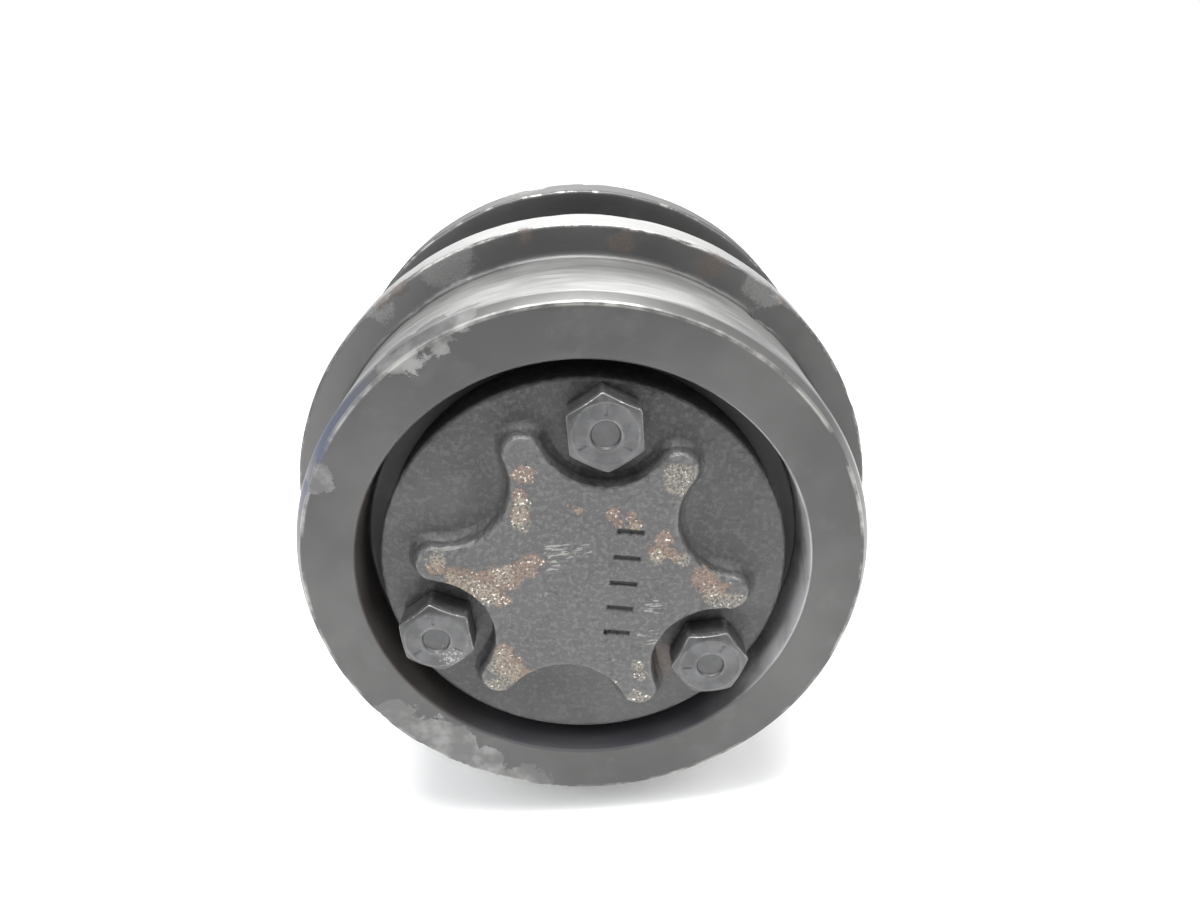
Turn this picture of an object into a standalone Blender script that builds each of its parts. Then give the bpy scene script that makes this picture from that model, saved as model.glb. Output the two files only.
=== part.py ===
"""Cantilevered track roller for a small crawler undercarriage.

Every turned piece shares one axis, the world Y axis. Depths are measured along it from the front
rim face of the shell, towards the shaft's clamped end. The world origin is on the axis where the
shaft's collar meets the bracket, and +Z is up. Angles about the axis are seen from the front,
counterclockwise from +X.
"""

import math
from dataclasses import dataclass

import bmesh
import bpy
from mathutils import Matrix, Vector

MM = 0.001
SEGMENTS = 48

# Fits between pieces
SEAT_GAP = 0.10 * MM
RACE_GAP = 0.12 * MM
WINDOW_GAP = 0.25 * MM
THREAD_GAP = 0.25 * MM

# Shell
TREAD_RADIUS = 70.0 * MM
FLANGE_HEIGHT = 8.3 * MM
FLANGE_WIDTH = 14.4 * MM
TREAD_WIDTH = 34.7 * MM
WAIST_WIDTH = 41.8 * MM
WAIST_RADIUS = 60.0 * MM
WAIST_BLEND = 6.0 * MM
TREAD_BLEND = 2.0 * MM
FLANGE_ROUNDING = 1.2 * MM
RIM_CHAMFER_LENGTH = 3.6 * MM
RIM_CHAMFER_DROP = 2.0 * MM
RIM_WIDTH = 12.8 * MM
SHOULDER_HEIGHT = 4.0 * MM
RESERVOIR_RADIUS = 30.0 * MM

# Cap, gasket and cap screws
CAP_SETBACK = 3.6 * MM
CAP_THICKNESS = 12.0 * MM
CAP_EDGE_CLEARANCE = 5.2 * MM
CAP_EDGE_ROUNDING = 1.0 * MM
CAP_FRONT_WALL = 8.1 * MM
PILOT_STEP = 2.9 * MM
PILOT_LENGTH = 6.4 * MM
PILOT_WALL = 6.9 * MM
FRONT_CUP_RADIUS = 26.0 * MM
GASKET_THICKNESS = 0.5 * MM
BOLT_COUNT = 3
BOLT_WALL = 4.6 * MM
BOLT_FIRST_ANGLE = 78.5
BOLT_HEX_ANGLES = (90.0, 93.0, 2.0)
BOLT_RADIUS = 6.0 * MM
BOLT_LENGTH = 30.0 * MM
BOLT_HEAD_HEIGHT = 8.0 * MM
BOLT_ACROSS_FLATS = 17.0 * MM
BOLT_DIMPLE_RADIUS = 3.5 * MM
BOLT_DIMPLE_DEPTH = 0.6 * MM
BOLT_HOLE_CLEARANCE = 0.65 * MM
BOLT_TIP_CLEARANCE = 4.5 * MM

# Star boss on the cap
BOSS_HEIGHT = 5.7 * MM
LOBE_COUNT = 6
LOBE_REACH = 40.2 * MM
LOBE_TIP_RADIUS = 4.2 * MM
VALLEY_FLOOR_RADIUS = 25.2 * MM
BOSS_ROUNDING = 0.8 * MM
MARK_BAR_COUNT = 5
MARK_BAR_LENGTH = 6.5 * MM
MARK_BAR_WIDTH = 1.3 * MM
MARK_BAR_DEPTH = 0.7 * MM
MARK_BAR_SPACING = 7.2 * MM
MARK_BAR_ANGLE = -10.4
MARK_COLUMN_X = 9.4 * MM
MARK_COLUMN_Z = -1.8 * MM

# Shaft, nut and plug
SHAFT_THREAD_RADIUS = 12.0 * MM
SHAFT_MIDDLE_RADIUS = 16.0 * MM
SHAFT_SEAT_RADIUS = 24.0 * MM
SHAFT_CLAMP_LENGTH = 70.0 * MM
SHAFT_CHAMFER = 2.0 * MM
SHAFT_END_PAST_NUT = 2.0 * MM
COLLAR_HEIGHT = 4.0 * MM
BRACKET_CLEARANCE = 3.0 * MM
NUT_RADIUS = 19.0 * MM
NUT_THICKNESS = 7.0 * MM
NUT_SLOT_WIDTH = 5.0 * MM
NUT_SLOT_DEPTH = 2.0 * MM
NUT_SLOT_COUNT = 4
TAB_WASHER_THICKNESS = 1.25 * MM
TAB_WIDTH = 4.0 * MM
TAB_LENGTH = 4.5 * MM
GALLERY_RADIUS = 3.0 * MM
CROSS_HOLE_RADIUS = 2.5 * MM
PLUG_RADIUS = 6.6 * MM
PLUG_LENGTH = 10.0 * MM
PLUG_RECESS = 1.5 * MM
PLUG_BORE_DEPTH = 14.0 * MM
PLUG_SOCKET_ACROSS_FLATS = 7.0 * MM
PLUG_SOCKET_DEPTH = 5.5 * MM

# Floating seal between shell and shaft
SEAL_SHAFT_CLEARANCE = 6.0 * MM
SEAL_BODY_WALL = 4.0 * MM
SEAL_FACE_HEIGHT = 4.0 * MM
SEAL_FACE_THICKNESS = 3.5 * MM
SEAL_BODY_LENGTH = 6.9 * MM
SEAL_FACE_GAP = 0.10 * MM
TORIC_RADIUS = 3.9 * MM
TORIC_GAP = 0.30 * MM
POCKET_FLOOR_PAST_CUP = 1.85 * MM
HOUSING_WALL = 5.8 * MM
HOUSING_LIP_CLEARANCE = 1.8 * MM
HOUSING_BACK_THICKNESS = 9.0 * MM
HOUSING_BACK_ROUNDING = 3.6 * MM
HOUSING_SIDE_CLEARANCE = 1.0 * MM
HOUSING_SETBACK = 4.15 * MM

# The front bearing's cone starts this far behind the bottom of the cap's pilot bore
FRONT_CONE_PAST_PILOT = 1.7 * MM


@dataclass
class Bearing:
    """A tapered roller bearing. Stations run from the cone's large rib face into the shell."""

    name: str
    rib_face: float
    inward: int
    bore_radius: float
    outer_radius: float
    cone_width: float
    cup_width: float
    total_width: float
    roller_radius: float
    roller_length: float
    roller_count: int
    pitch_radius: float
    roller_station: float
    axis_tilt: float = math.radians(12.25)
    rib_height: float = 1.5 * MM
    small_rib_height: float = 0.8 * MM
    small_rib_width: float = 1.5 * MM
    cage_thickness: float = 1.6 * MM
    cage_ring: float = 1.9 * MM

    def depth(self, station):
        return self.rib_face + self.inward * station

    @property
    def half_taper(self):
        return math.atan(self.roller_radius * math.sin(self.axis_tilt) / self.pitch_radius)

    @property
    def half_length(self):
        return self.roller_length / 2

    def roller_radius_at(self, along):
        """Radius of a roller at a distance along its own axis, positive towards its large end."""
        return self.roller_radius + along * math.tan(self.half_taper)

    def cone_surface(self, station, angle):
        """Radius, at a station, of the cone that shares the rollers' apex and has this half angle."""
        apex = self.roller_station + self.pitch_radius / math.tan(self.axis_tilt)
        return (apex - station) * math.tan(angle)

    def cup_race(self, station):
        return self.cone_surface(station, self.axis_tilt + self.half_taper) + RACE_GAP

    def cone_race(self, station):
        return self.cone_surface(station, self.axis_tilt - self.half_taper) - RACE_GAP

    def pitch_line(self, station):
        return self.cone_surface(station, self.axis_tilt)

    @property
    def end_reach(self):
        """Half the length of a roller, measured along the bearing's axis."""
        return self.half_length * math.cos(self.axis_tilt)


# Depths that follow from the sizes above
SHELL_LENGTH = 2 * (TREAD_WIDTH + FLANGE_WIDTH) + WAIST_WIDTH
FLANGE_RADIUS = TREAD_RADIUS + FLANGE_HEIGHT
RECESS_RADIUS = TREAD_RADIUS - RIM_CHAMFER_DROP - RIM_WIDTH
CAP_RADIUS = RECESS_RADIUS - CAP_EDGE_CLEARANCE
CAP_BACK = CAP_SETBACK + CAP_THICKNESS
PILOT_RADIUS = FRONT_CUP_RADIUS + PILOT_STEP
BOLT_CIRCLE_RADIUS = PILOT_RADIUS + BOLT_WALL + BOLT_RADIUS
RECESS_DEPTH = CAP_BACK + GASKET_THICKNESS + SEAT_GAP
PILOT_BORE_DEPTH = CAP_BACK + PILOT_LENGTH + 3 * SEAT_GAP
BOSS_FACE = CAP_SETBACK - BOSS_HEIGHT
HOLLOW_FLOOR = BOSS_FACE + CAP_FRONT_WALL
BOLT_SEAT = CAP_SETBACK - 2 * SEAT_GAP
LOBE_FIRST_ANGLE = BOLT_FIRST_ANGLE + 180.0 / LOBE_COUNT

FRONT_BEARING = Bearing(
    name="front_bearing",
    rib_face=PILOT_BORE_DEPTH + FRONT_CONE_PAST_PILOT,
    inward=1,
    bore_radius=12.5 * MM,
    outer_radius=FRONT_CUP_RADIUS,
    cone_width=15.0 * MM,
    cup_width=13.0 * MM,
    total_width=16.25 * MM,
    roller_radius=3.1 * MM,
    roller_length=11.0 * MM,
    roller_count=15,
    pitch_radius=19.3 * MM,
    roller_station=8.0 * MM,
)
FRONT_SHOULDER = FRONT_BEARING.depth(FRONT_BEARING.total_width) + SEAT_GAP

# The seal and the rear bearing are placed from the shell's rear end
SEAL_INNER_RADIUS = SHAFT_SEAT_RADIUS + SEAL_SHAFT_CLEARANCE
SEAL_BODY_RADIUS = SEAL_INNER_RADIUS + SEAL_BODY_WALL
SEAL_FACE_RADIUS = SEAL_BODY_RADIUS + SEAL_FACE_HEIGHT
TORIC_CENTRE_RADIUS = SEAL_BODY_RADIUS + TORIC_GAP + TORIC_RADIUS
SEAL_POCKET_RADIUS = TORIC_CENTRE_RADIUS + TORIC_RADIUS + TORIC_GAP
SEAL_POCKET_DEPTH = 2 * (TORIC_RADIUS + TORIC_GAP) + SEAL_FACE_THICKNESS + SEAL_FACE_GAP / 2
HOUSING_BACK = SHELL_LENGTH - HOUSING_SETBACK
HOUSING_POCKET_FLOOR = HOUSING_BACK - HOUSING_BACK_THICKNESS
SEAL_PLANE = HOUSING_POCKET_FLOOR - SEAL_POCKET_DEPTH
POCKET_FLOOR = SEAL_PLANE - SEAL_POCKET_DEPTH
FRONT_TORIC_DEPTH = POCKET_FLOOR + TORIC_GAP + TORIC_RADIUS
HOUSING_LIP = SEAL_PLANE + HOUSING_LIP_CLEARANCE
HOUSING_RADIUS = SEAL_POCKET_RADIUS + HOUSING_WALL
SHELL_SEAL_STEP = SEAL_PLANE - HOUSING_LIP_CLEARANCE
SHELL_SEAL_BORE = HOUSING_RADIUS + HOUSING_SIDE_CLEARANCE

REAR_CUP_WIDTH = 15.0 * MM
REAR_TOTAL_WIDTH = 18.25 * MM
REAR_BEARING = Bearing(
    name="rear_bearing",
    rib_face=POCKET_FLOOR - POCKET_FLOOR_PAST_CUP + REAR_TOTAL_WIDTH - REAR_CUP_WIDTH,
    inward=-1,
    bore_radius=17.5 * MM,
    outer_radius=36.0 * MM,
    cone_width=17.0 * MM,
    cup_width=REAR_CUP_WIDTH,
    total_width=REAR_TOTAL_WIDTH,
    roller_radius=4.1 * MM,
    roller_length=12.5 * MM,
    roller_count=17,
    pitch_radius=26.5 * MM,
    roller_station=9.0 * MM,
)
REAR_SHOULDER = REAR_BEARING.depth(REAR_BEARING.total_width) - SEAT_GAP
COLLAR_FRONT = HOUSING_BACK + SEAT_GAP
COLLAR_RADIUS = SHAFT_SEAT_RADIUS + COLLAR_HEIGHT
COLLAR_BACK = SHELL_LENGTH + BRACKET_CLEARANCE
SHAFT_REAR_END = COLLAR_BACK + SHAFT_CLAMP_LENGTH
TAB_WASHER_BACK = FRONT_BEARING.rib_face - SEAT_GAP
TAB_WASHER_FRONT = TAB_WASHER_BACK - TAB_WASHER_THICKNESS
NUT_BACK = TAB_WASHER_FRONT - SEAT_GAP
NUT_FRONT = NUT_BACK - NUT_THICKNESS
SHAFT_FRONT_END = NUT_FRONT - SHAFT_END_PAST_NUT


# ---- helpers -----------------------------------------------------------------------------------


def clear_scene():
    for obj in list(bpy.data.objects):
        bpy.data.objects.remove(obj, do_unlink=True)


def new_collection(name):
    collection = bpy.data.collections.new(name)
    bpy.context.scene.collection.children.link(collection)
    return collection


def metal(name, colour, roughness, metallic=1.0):
    material = bpy.data.materials.new(name)
    material.use_nodes = True
    shader = material.node_tree.nodes["Principled BSDF"]
    shader.inputs["Base Color"].default_value = (*colour, 1.0)
    shader.inputs["Roughness"].default_value = roughness
    shader.inputs["Metallic"].default_value = metallic
    return material


def polar(radius, degrees):
    angle = math.radians(degrees)
    return radius * math.cos(angle), radius * math.sin(angle)


def place_on_axis(obj):
    """Stand local Z along the roller's axis, front end forward, with local zero at the front rim."""
    obj.rotation_euler = (math.pi / 2, 0.0, 0.0)
    obj.location = (0.0, -COLLAR_BACK, 0.0)


def with_fillets(corners, arc_steps=3):
    """Turn (radius, depth[, fillet]) corners into profile points, with arcs at filleted corners."""
    points = []
    for index, corner in enumerate(corners):
        here = Vector(corner[:2])
        fillet = corner[2] if len(corner) > 2 else 0.0
        if not fillet:
            points.append(here)
            continue
        before = (Vector(corners[index - 1][:2]) - here).normalized()
        after = (Vector(corners[(index + 1) % len(corners)][:2]) - here).normalized()
        half = before.angle(after) / 2
        centre = here + (before + after).normalized() * fillet / math.sin(half)
        start = here + before * fillet / math.tan(half) - centre
        end = here + after * fillet / math.tan(half) - centre
        sweep = math.atan2(start.x * end.y - start.y * end.x, start.dot(end))
        for step in range(arc_steps + 1):
            points.append(centre + Matrix.Rotation(sweep * step / arc_steps, 2) @ start)
    return points


def running_down(points):
    """Order a profile so that its outer side runs from the front towards the rear."""
    area = sum(a.x * b.y - b.x * a.y for a, b in zip(points, points[1:] + points[:1]))
    return points if area > 0 else points[::-1]


def turned(name, corners, material, collection):
    """Revolve a profile about the axis. One whose ends lie on the axis makes a solid piece."""
    points = running_down(with_fillets(corners))
    solid = any(point.x == 0.0 for point in points)
    while solid and not (points[0].x == 0.0 and points[-1].x == 0.0):
        points = points[1:] + points[:1]
    edges = [(i, i + 1) for i in range(len(points) - 1)]
    if not solid:
        edges.append((len(points) - 1, 0))
    mesh = bpy.data.meshes.new(name)
    mesh.from_pydata([(point.x, 0.0, -point.y) for point in points], edges, [])
    obj = bpy.data.objects.new(name, mesh)
    obj.data.materials.append(material)
    collection.objects.link(obj)
    screw = obj.modifiers.new("turn", "SCREW")
    screw.steps = SEGMENTS
    screw.render_steps = SEGMENTS
    screw.use_merge_vertices = True
    screw.merge_threshold = 1e-5
    place_on_axis(obj)
    return obj


def as_cutter(obj, cutters):
    for collection in list(obj.users_collection):
        collection.objects.unlink(obj)
    cutters.objects.link(obj)
    obj.hide_render = True
    obj.display_type = "WIRE"
    return obj


def boolean(obj, other, operation="DIFFERENCE"):
    modifier = obj.modifiers.new(f"{operation.lower()}_{other.name}", "BOOLEAN")
    modifier.operation = operation
    modifier.solver = "EXACT"
    modifier.object = other


def axial_cylinder(name, radius, front, back, cutters, centre=(0.0, 0.0), sides=24):
    """A guide cylinder along the axis between two depths, centred at (x, z)."""
    bpy.ops.mesh.primitive_cylinder_add(vertices=sides, radius=radius, depth=back - front)
    obj = bpy.context.object
    obj.name = name
    obj.rotation_euler = (math.pi / 2, 0.0, 0.0)
    obj.location = (centre[0], (front + back) / 2 - COLLAR_BACK, centre[1])
    return as_cutter(obj, cutters)


def box(name, size, centre, degrees, cutters):
    """A guide box with size (along its own X, depth, along its own Z), turned about the axis."""
    bpy.ops.mesh.primitive_cube_add(size=1.0)
    obj = bpy.context.object
    obj.name = name
    turn = Matrix.Rotation(math.radians(-degrees), 4, "Y")
    obj.data.transform(Matrix.Diagonal((*size, 1.0)))
    obj.matrix_world = Matrix.Translation((centre[0], centre[1] - COLLAR_BACK, centre[2])) @ turn
    return as_cutter(obj, cutters)


def baked_mesh(obj, name):
    """The object's shape with its modifiers, as a mesh of its own, with loose caps welded."""
    evaluated = obj.evaluated_get(bpy.context.evaluated_depsgraph_get())
    mesh = bpy.data.meshes.new_from_object(evaluated)
    mesh.name = name
    work = bmesh.new()
    work.from_mesh(mesh)
    bmesh.ops.remove_doubles(work, verts=work.verts, dist=1e-6)
    work.to_mesh(mesh)
    work.free()
    return mesh


def shade(parts):
    """Smooth the round faces and keep the edges sharp."""
    for obj in parts.objects:
        if obj.type == "MESH":
            obj.data.shade_smooth()
            obj.data.set_sharp_from_angle(angle=math.radians(30))


# ---- shell, cap and screws ---------------------------------------------------------------------


def bolt_angles():
    return [BOLT_FIRST_ANGLE + 360.0 * index / BOLT_COUNT for index in range(BOLT_COUNT)]


def outer_half_profile():
    """Outer corners from the front rim face to the middle of the waist."""
    flange_front = TREAD_WIDTH
    flange_back = TREAD_WIDTH + FLANGE_WIDTH
    return [
        (TREAD_RADIUS - RIM_CHAMFER_DROP, 0.0),
        (TREAD_RADIUS, RIM_CHAMFER_LENGTH),
        (TREAD_RADIUS, flange_front, TREAD_BLEND),
        (FLANGE_RADIUS, flange_front, FLANGE_ROUNDING),
        (FLANGE_RADIUS, flange_back, FLANGE_ROUNDING),
        (WAIST_RADIUS, flange_back, WAIST_BLEND),
    ]


def make_roller_shell(parts, cutters, material):
    front = outer_half_profile()
    rear = [(corner[0], SHELL_LENGTH - corner[1], *corner[2:]) for corner in reversed(front)]
    recess_floor_rear = SHELL_LENGTH - RECESS_DEPTH
    bore = [
        (RECESS_RADIUS, SHELL_LENGTH),
        (RECESS_RADIUS, recess_floor_rear),
        (SHELL_SEAL_BORE, recess_floor_rear),
        (SHELL_SEAL_BORE, SHELL_SEAL_STEP),
        (SEAL_POCKET_RADIUS, SHELL_SEAL_STEP),
        (SEAL_POCKET_RADIUS, POCKET_FLOOR),
        (REAR_BEARING.outer_radius + SEAT_GAP, POCKET_FLOOR),
        (REAR_BEARING.outer_radius + SEAT_GAP, REAR_SHOULDER),
        (REAR_BEARING.outer_radius - SHOULDER_HEIGHT, REAR_SHOULDER),
        (RESERVOIR_RADIUS, REAR_SHOULDER - SHOULDER_HEIGHT),
        (RESERVOIR_RADIUS, FRONT_SHOULDER + 2 * SHOULDER_HEIGHT),
        (FRONT_BEARING.outer_radius - SHOULDER_HEIGHT, FRONT_SHOULDER + SHOULDER_HEIGHT),
        (FRONT_BEARING.outer_radius - SHOULDER_HEIGHT, FRONT_SHOULDER),
        (FRONT_BEARING.outer_radius + SEAT_GAP, FRONT_SHOULDER),
        (FRONT_BEARING.outer_radius + SEAT_GAP, PILOT_BORE_DEPTH),
        (PILOT_RADIUS + SEAT_GAP, PILOT_BORE_DEPTH),
        (PILOT_RADIUS + SEAT_GAP, RECESS_DEPTH),
        (RECESS_RADIUS, RECESS_DEPTH),
        (RECESS_RADIUS, 0.0),
    ]
    shell = turned("roller_shell", front + rear + bore, material, parts)
    hole_floor = BOLT_SEAT + BOLT_LENGTH + BOLT_TIP_CLEARANCE
    for index, angle in enumerate(bolt_angles(), start=1):
        hole = axial_cylinder(
            f"bolt_thread_{index}",
            BOLT_RADIUS + THREAD_GAP,
            RECESS_DEPTH - GASKET_THICKNESS,
            hole_floor,
            cutters,
            polar(BOLT_CIRCLE_RADIUS, angle),
        )
        boolean(shell, hole)
    return shell


def star_outline(steps=6):
    """Points round the boss: a tip arc on each lobe and a tangent valley arc between lobes.

    The valley arc is centred on the valley's middle line. Its radius is the one that touches the
    valley floor circle and both neighbouring tip arcs.
    """
    half_pitch = math.pi / LOBE_COUNT
    tip_centre = LOBE_REACH - LOBE_TIP_RADIUS
    across = tip_centre * math.sin(half_pitch)
    along = tip_centre * math.cos(half_pitch)
    inner = VALLEY_FLOOR_RADIUS - LOBE_TIP_RADIUS
    valley_centre = (across**2 + along**2 - inner**2) / (2 * (along - inner))
    valley_radius = valley_centre - VALLEY_FLOOR_RADIUS
    touch = math.atan2(across, valley_centre - along)
    tip_sweep = touch + half_pitch
    points = []
    for lobe in range(LOBE_COUNT):
        lobe_angle = math.radians(LOBE_FIRST_ANGLE) + 2 * half_pitch * lobe
        valley_angle = lobe_angle + half_pitch
        for step in range(steps + 1):
            turn = lobe_angle - tip_sweep + 2 * tip_sweep * step / steps
            centre = Vector((math.cos(lobe_angle), math.sin(lobe_angle))) * tip_centre
            points.append(centre + Vector((math.cos(turn), math.sin(turn))) * LOBE_TIP_RADIUS)
        for step in range(1, steps):
            turn = valley_angle + math.pi + touch - 2 * touch * step / steps
            centre = Vector((math.cos(valley_angle), math.sin(valley_angle))) * valley_centre
            points.append(centre + Vector((math.cos(turn), math.sin(turn))) * valley_radius)
    return points


def make_star_boss(cutters):
    """The raised star, sunk halfway into the cap's front wall so that the two can be joined."""
    root = CAP_SETBACK + CAP_FRONT_WALL / 4
    curve = bpy.data.curves.new("star_outline", "CURVE")
    curve.dimensions = "2D"
    curve.fill_mode = "BOTH"
    curve.extrude = (root - BOSS_FACE) / 2
    spline = curve.splines.new("POLY")
    outline = star_outline()
    spline.points.add(len(outline) - 1)
    for point, place in zip(spline.points, outline):
        point.co = (place.x, place.y, 0.0, 1.0)
    spline.use_cyclic_u = True
    outline_object = bpy.data.objects.new("star_outline", curve)
    cutters.objects.link(outline_object)
    outline_object.rotation_euler = (math.pi / 2, 0.0, 0.0)
    outline_object.location = (0.0, (root + BOSS_FACE) / 2 - COLLAR_BACK, 0.0)
    bpy.context.view_layer.update()
    star = bpy.data.objects.new("star_boss", baked_mesh(outline_object, "star_boss"))
    star.matrix_world = outline_object.matrix_world.copy()
    cutters.objects.link(star)
    bpy.data.objects.remove(outline_object, do_unlink=True)
    bevel = star.modifiers.new("round", "BEVEL")
    bevel.width = BOSS_ROUNDING
    bevel.segments = 2
    bevel.limit_method = "ANGLE"
    bevel.angle_limit = math.radians(60)
    return as_cutter(star, cutters)


def make_end_cap(parts, cutters, material):
    hollow_radius = PILOT_RADIUS - PILOT_WALL
    corners = [
        (0.0, CAP_SETBACK),
        (CAP_RADIUS, CAP_SETBACK, CAP_EDGE_ROUNDING),
        (CAP_RADIUS, CAP_BACK),
        (PILOT_RADIUS, CAP_BACK),
        (PILOT_RADIUS, CAP_BACK + PILOT_LENGTH),
        (hollow_radius, CAP_BACK + PILOT_LENGTH),
        (hollow_radius, HOLLOW_FLOOR),
        (0.0, HOLLOW_FLOOR),
    ]
    cap = turned("end_cap", corners, material, parts)
    boolean(cap, make_star_boss(cutters), "UNION")
    for index, angle in enumerate(bolt_angles(), start=1):
        hole = axial_cylinder(
            f"bolt_hole_{index}",
            BOLT_RADIUS + BOLT_HOLE_CLEARANCE,
            BOSS_FACE,
            CAP_BACK + GASKET_THICKNESS,
            cutters,
            polar(BOLT_CIRCLE_RADIUS, angle),
        )
        boolean(cap, hole)
    for index in range(MARK_BAR_COUNT):
        along = ((MARK_BAR_COUNT - 1) / 2 - index) * MARK_BAR_SPACING
        x, z = polar(along, MARK_BAR_ANGLE + 90.0)
        bar = box(
            f"mark_bar_{index + 1}",
            (MARK_BAR_LENGTH, 2 * MARK_BAR_DEPTH, MARK_BAR_WIDTH),
            (MARK_COLUMN_X + x, BOSS_FACE, MARK_COLUMN_Z + z),
            MARK_BAR_ANGLE,
            cutters,
        )
        boolean(cap, bar)
    return cap


def make_cap_gasket(parts, cutters, material):
    front = CAP_BACK + SEAT_GAP / 2
    corners = [
        (PILOT_RADIUS + SEAT_GAP, front),
        (CAP_RADIUS, front),
        (CAP_RADIUS, front + GASKET_THICKNESS),
        (PILOT_RADIUS + SEAT_GAP, front + GASKET_THICKNESS),
    ]
    gasket = turned("cap_gasket", corners, material, parts)
    for index in range(1, BOLT_COUNT + 1):
        boolean(gasket, cutters.objects[f"gasket_hole_{index}"])
    return gasket


def make_gasket_holes(cutters):
    for index, angle in enumerate(bolt_angles(), start=1):
        axial_cylinder(
            f"gasket_hole_{index}",
            BOLT_RADIUS + BOLT_HOLE_CLEARANCE,
            CAP_BACK - GASKET_THICKNESS,
            RECESS_DEPTH + GASKET_THICKNESS,
            cutters,
            polar(BOLT_CIRCLE_RADIUS, angle),
        )


def make_bolt_mesh(cutters, material):
    """One hex cap screw, about its own axis: head chamfered and dimpled, shank pointing down."""
    flat = BOLT_ACROSS_FLATS / 2
    corner = flat / math.cos(math.pi / 6)
    bpy.ops.mesh.primitive_cylinder_add(vertices=6, radius=corner, depth=BOLT_HEAD_HEIGHT)
    screw = bpy.context.object
    screw.name = "cap_bolt_pattern"
    screw.data.transform(Matrix.Rotation(math.pi / 2, 4, "Z"))
    screw.data.transform(Matrix.Translation((0.0, 0.0, BOLT_HEAD_HEIGHT / 2)))
    screw.data.materials.append(material)
    slope = math.tan(math.radians(30))
    chamfer_top = flat - slope * (corner - flat)
    chamfer_base = corner + flat
    top = BOLT_HEAD_HEIGHT
    chamfer_depth = (chamfer_base - chamfer_top) * slope
    dimple = BOLT_DIMPLE_RADIUS
    tools = (
        ("head_chamfer", "INTERSECT", chamfer_top, chamfer_base, top - chamfer_depth, top),
        ("screw_shank", "UNION", BOLT_RADIUS, BOLT_RADIUS, -BOLT_LENGTH, top / 2),
        ("head_dimple", "DIFFERENCE", dimple, dimple, top - BOLT_DIMPLE_DEPTH, 2 * top),
    )
    for name, operation, upper, lower, low, high in tools:
        bpy.ops.mesh.primitive_cone_add(vertices=24, radius1=lower, radius2=upper, depth=high - low)
        tool = bpy.context.object
        tool.name = name
        tool.data.transform(Matrix.Translation((0.0, 0.0, (high + low) / 2)))
        boolean(screw, as_cutter(tool, cutters), operation)
    bpy.context.view_layer.update()
    mesh = baked_mesh(screw, "cap_bolt")
    bpy.data.objects.remove(screw, do_unlink=True)
    return mesh


def make_cap_bolts(parts, cutters, material):
    mesh = make_bolt_mesh(cutters, material)
    for index, (angle, hex_angle) in enumerate(zip(bolt_angles(), BOLT_HEX_ANGLES), start=1):
        bolt = bpy.data.objects.new(f"cap_bolt_{index}", mesh)
        x, z = polar(BOLT_CIRCLE_RADIUS, angle)
        stand = Matrix.Rotation(math.pi / 2, 4, "X")
        turn = Matrix.Rotation(math.radians(hex_angle), 4, "Z")
        bolt.matrix_world = Matrix.Translation((x, BOLT_SEAT - COLLAR_BACK, z)) @ stand @ turn
        parts.objects.link(bolt)


# ---- bearings ----------------------------------------------------------------------------------


def make_cup(bearing, parts, material):
    near = bearing.total_width - bearing.cup_width
    far = bearing.total_width
    corners = [
        (bearing.outer_radius, bearing.depth(near)),
        (bearing.outer_radius, bearing.depth(far)),
        (bearing.cup_race(far), bearing.depth(far)),
        (bearing.cup_race(near), bearing.depth(near)),
    ]
    return turned(f"{bearing.name}_cup", corners, material, parts)


def make_cone(bearing, parts, material):
    large_radius = bearing.roller_radius_at(bearing.half_length)
    rib = (
        bearing.roller_station
        - bearing.end_reach
        - large_radius * math.sin(bearing.axis_tilt)
        - RACE_GAP
    )
    small_rib = bearing.cone_width - bearing.small_rib_width
    corners = [
        (bearing.bore_radius, 0.0),
        (bearing.cone_race(rib) + bearing.rib_height, 0.0),
        (bearing.cone_race(rib) + bearing.rib_height, rib),
        (bearing.cone_race(rib), rib),
        (bearing.cone_race(small_rib), small_rib),
        (bearing.cone_race(small_rib) + bearing.small_rib_height, small_rib),
        (bearing.cone_race(small_rib) + bearing.small_rib_height, bearing.cone_width),
        (bearing.bore_radius, bearing.cone_width),
    ]
    placed = [(radius, bearing.depth(station)) for radius, station in corners]
    return turned(f"{bearing.name}_cone", placed, material, parts)


def roller_matrix(bearing, index):
    """Place of a roller: local Z along its tilted axis, towards its large end."""
    around = Matrix.Rotation(-2 * math.pi * index / bearing.roller_count, 4, "Y")
    depth = bearing.depth(bearing.roller_station) - COLLAR_BACK
    centre = Matrix.Translation((0.0, depth, bearing.pitch_radius))
    outward = math.pi / 2 if bearing.inward > 0 else -math.pi / 2
    lean = Matrix.Rotation(outward - bearing.inward * bearing.axis_tilt, 4, "X")
    return around @ centre @ lean


def roller_mesh(bearing, margin, end_margin, name):
    """A tapered roller about its own axis, grown by a margin all round."""
    reach = bearing.half_length + end_margin
    work = bmesh.new()
    bmesh.ops.create_cone(
        work,
        cap_ends=True,
        segments=12,
        radius1=bearing.roller_radius_at(-reach) + margin,
        radius2=bearing.roller_radius_at(reach) + margin,
        depth=2 * reach,
    )
    mesh = bpy.data.meshes.new(name)
    work.to_mesh(mesh)
    work.free()
    return mesh


def make_rollers(bearing, parts, material):
    mesh = roller_mesh(bearing, 0.0, 0.0, f"{bearing.name}_roller")
    mesh.materials.append(material)
    for index in range(bearing.roller_count):
        roller = bpy.data.objects.new(f"{bearing.name}_roller_{index + 1:02d}", mesh)
        roller.matrix_world = roller_matrix(bearing, index)
        parts.objects.link(roller)


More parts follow.
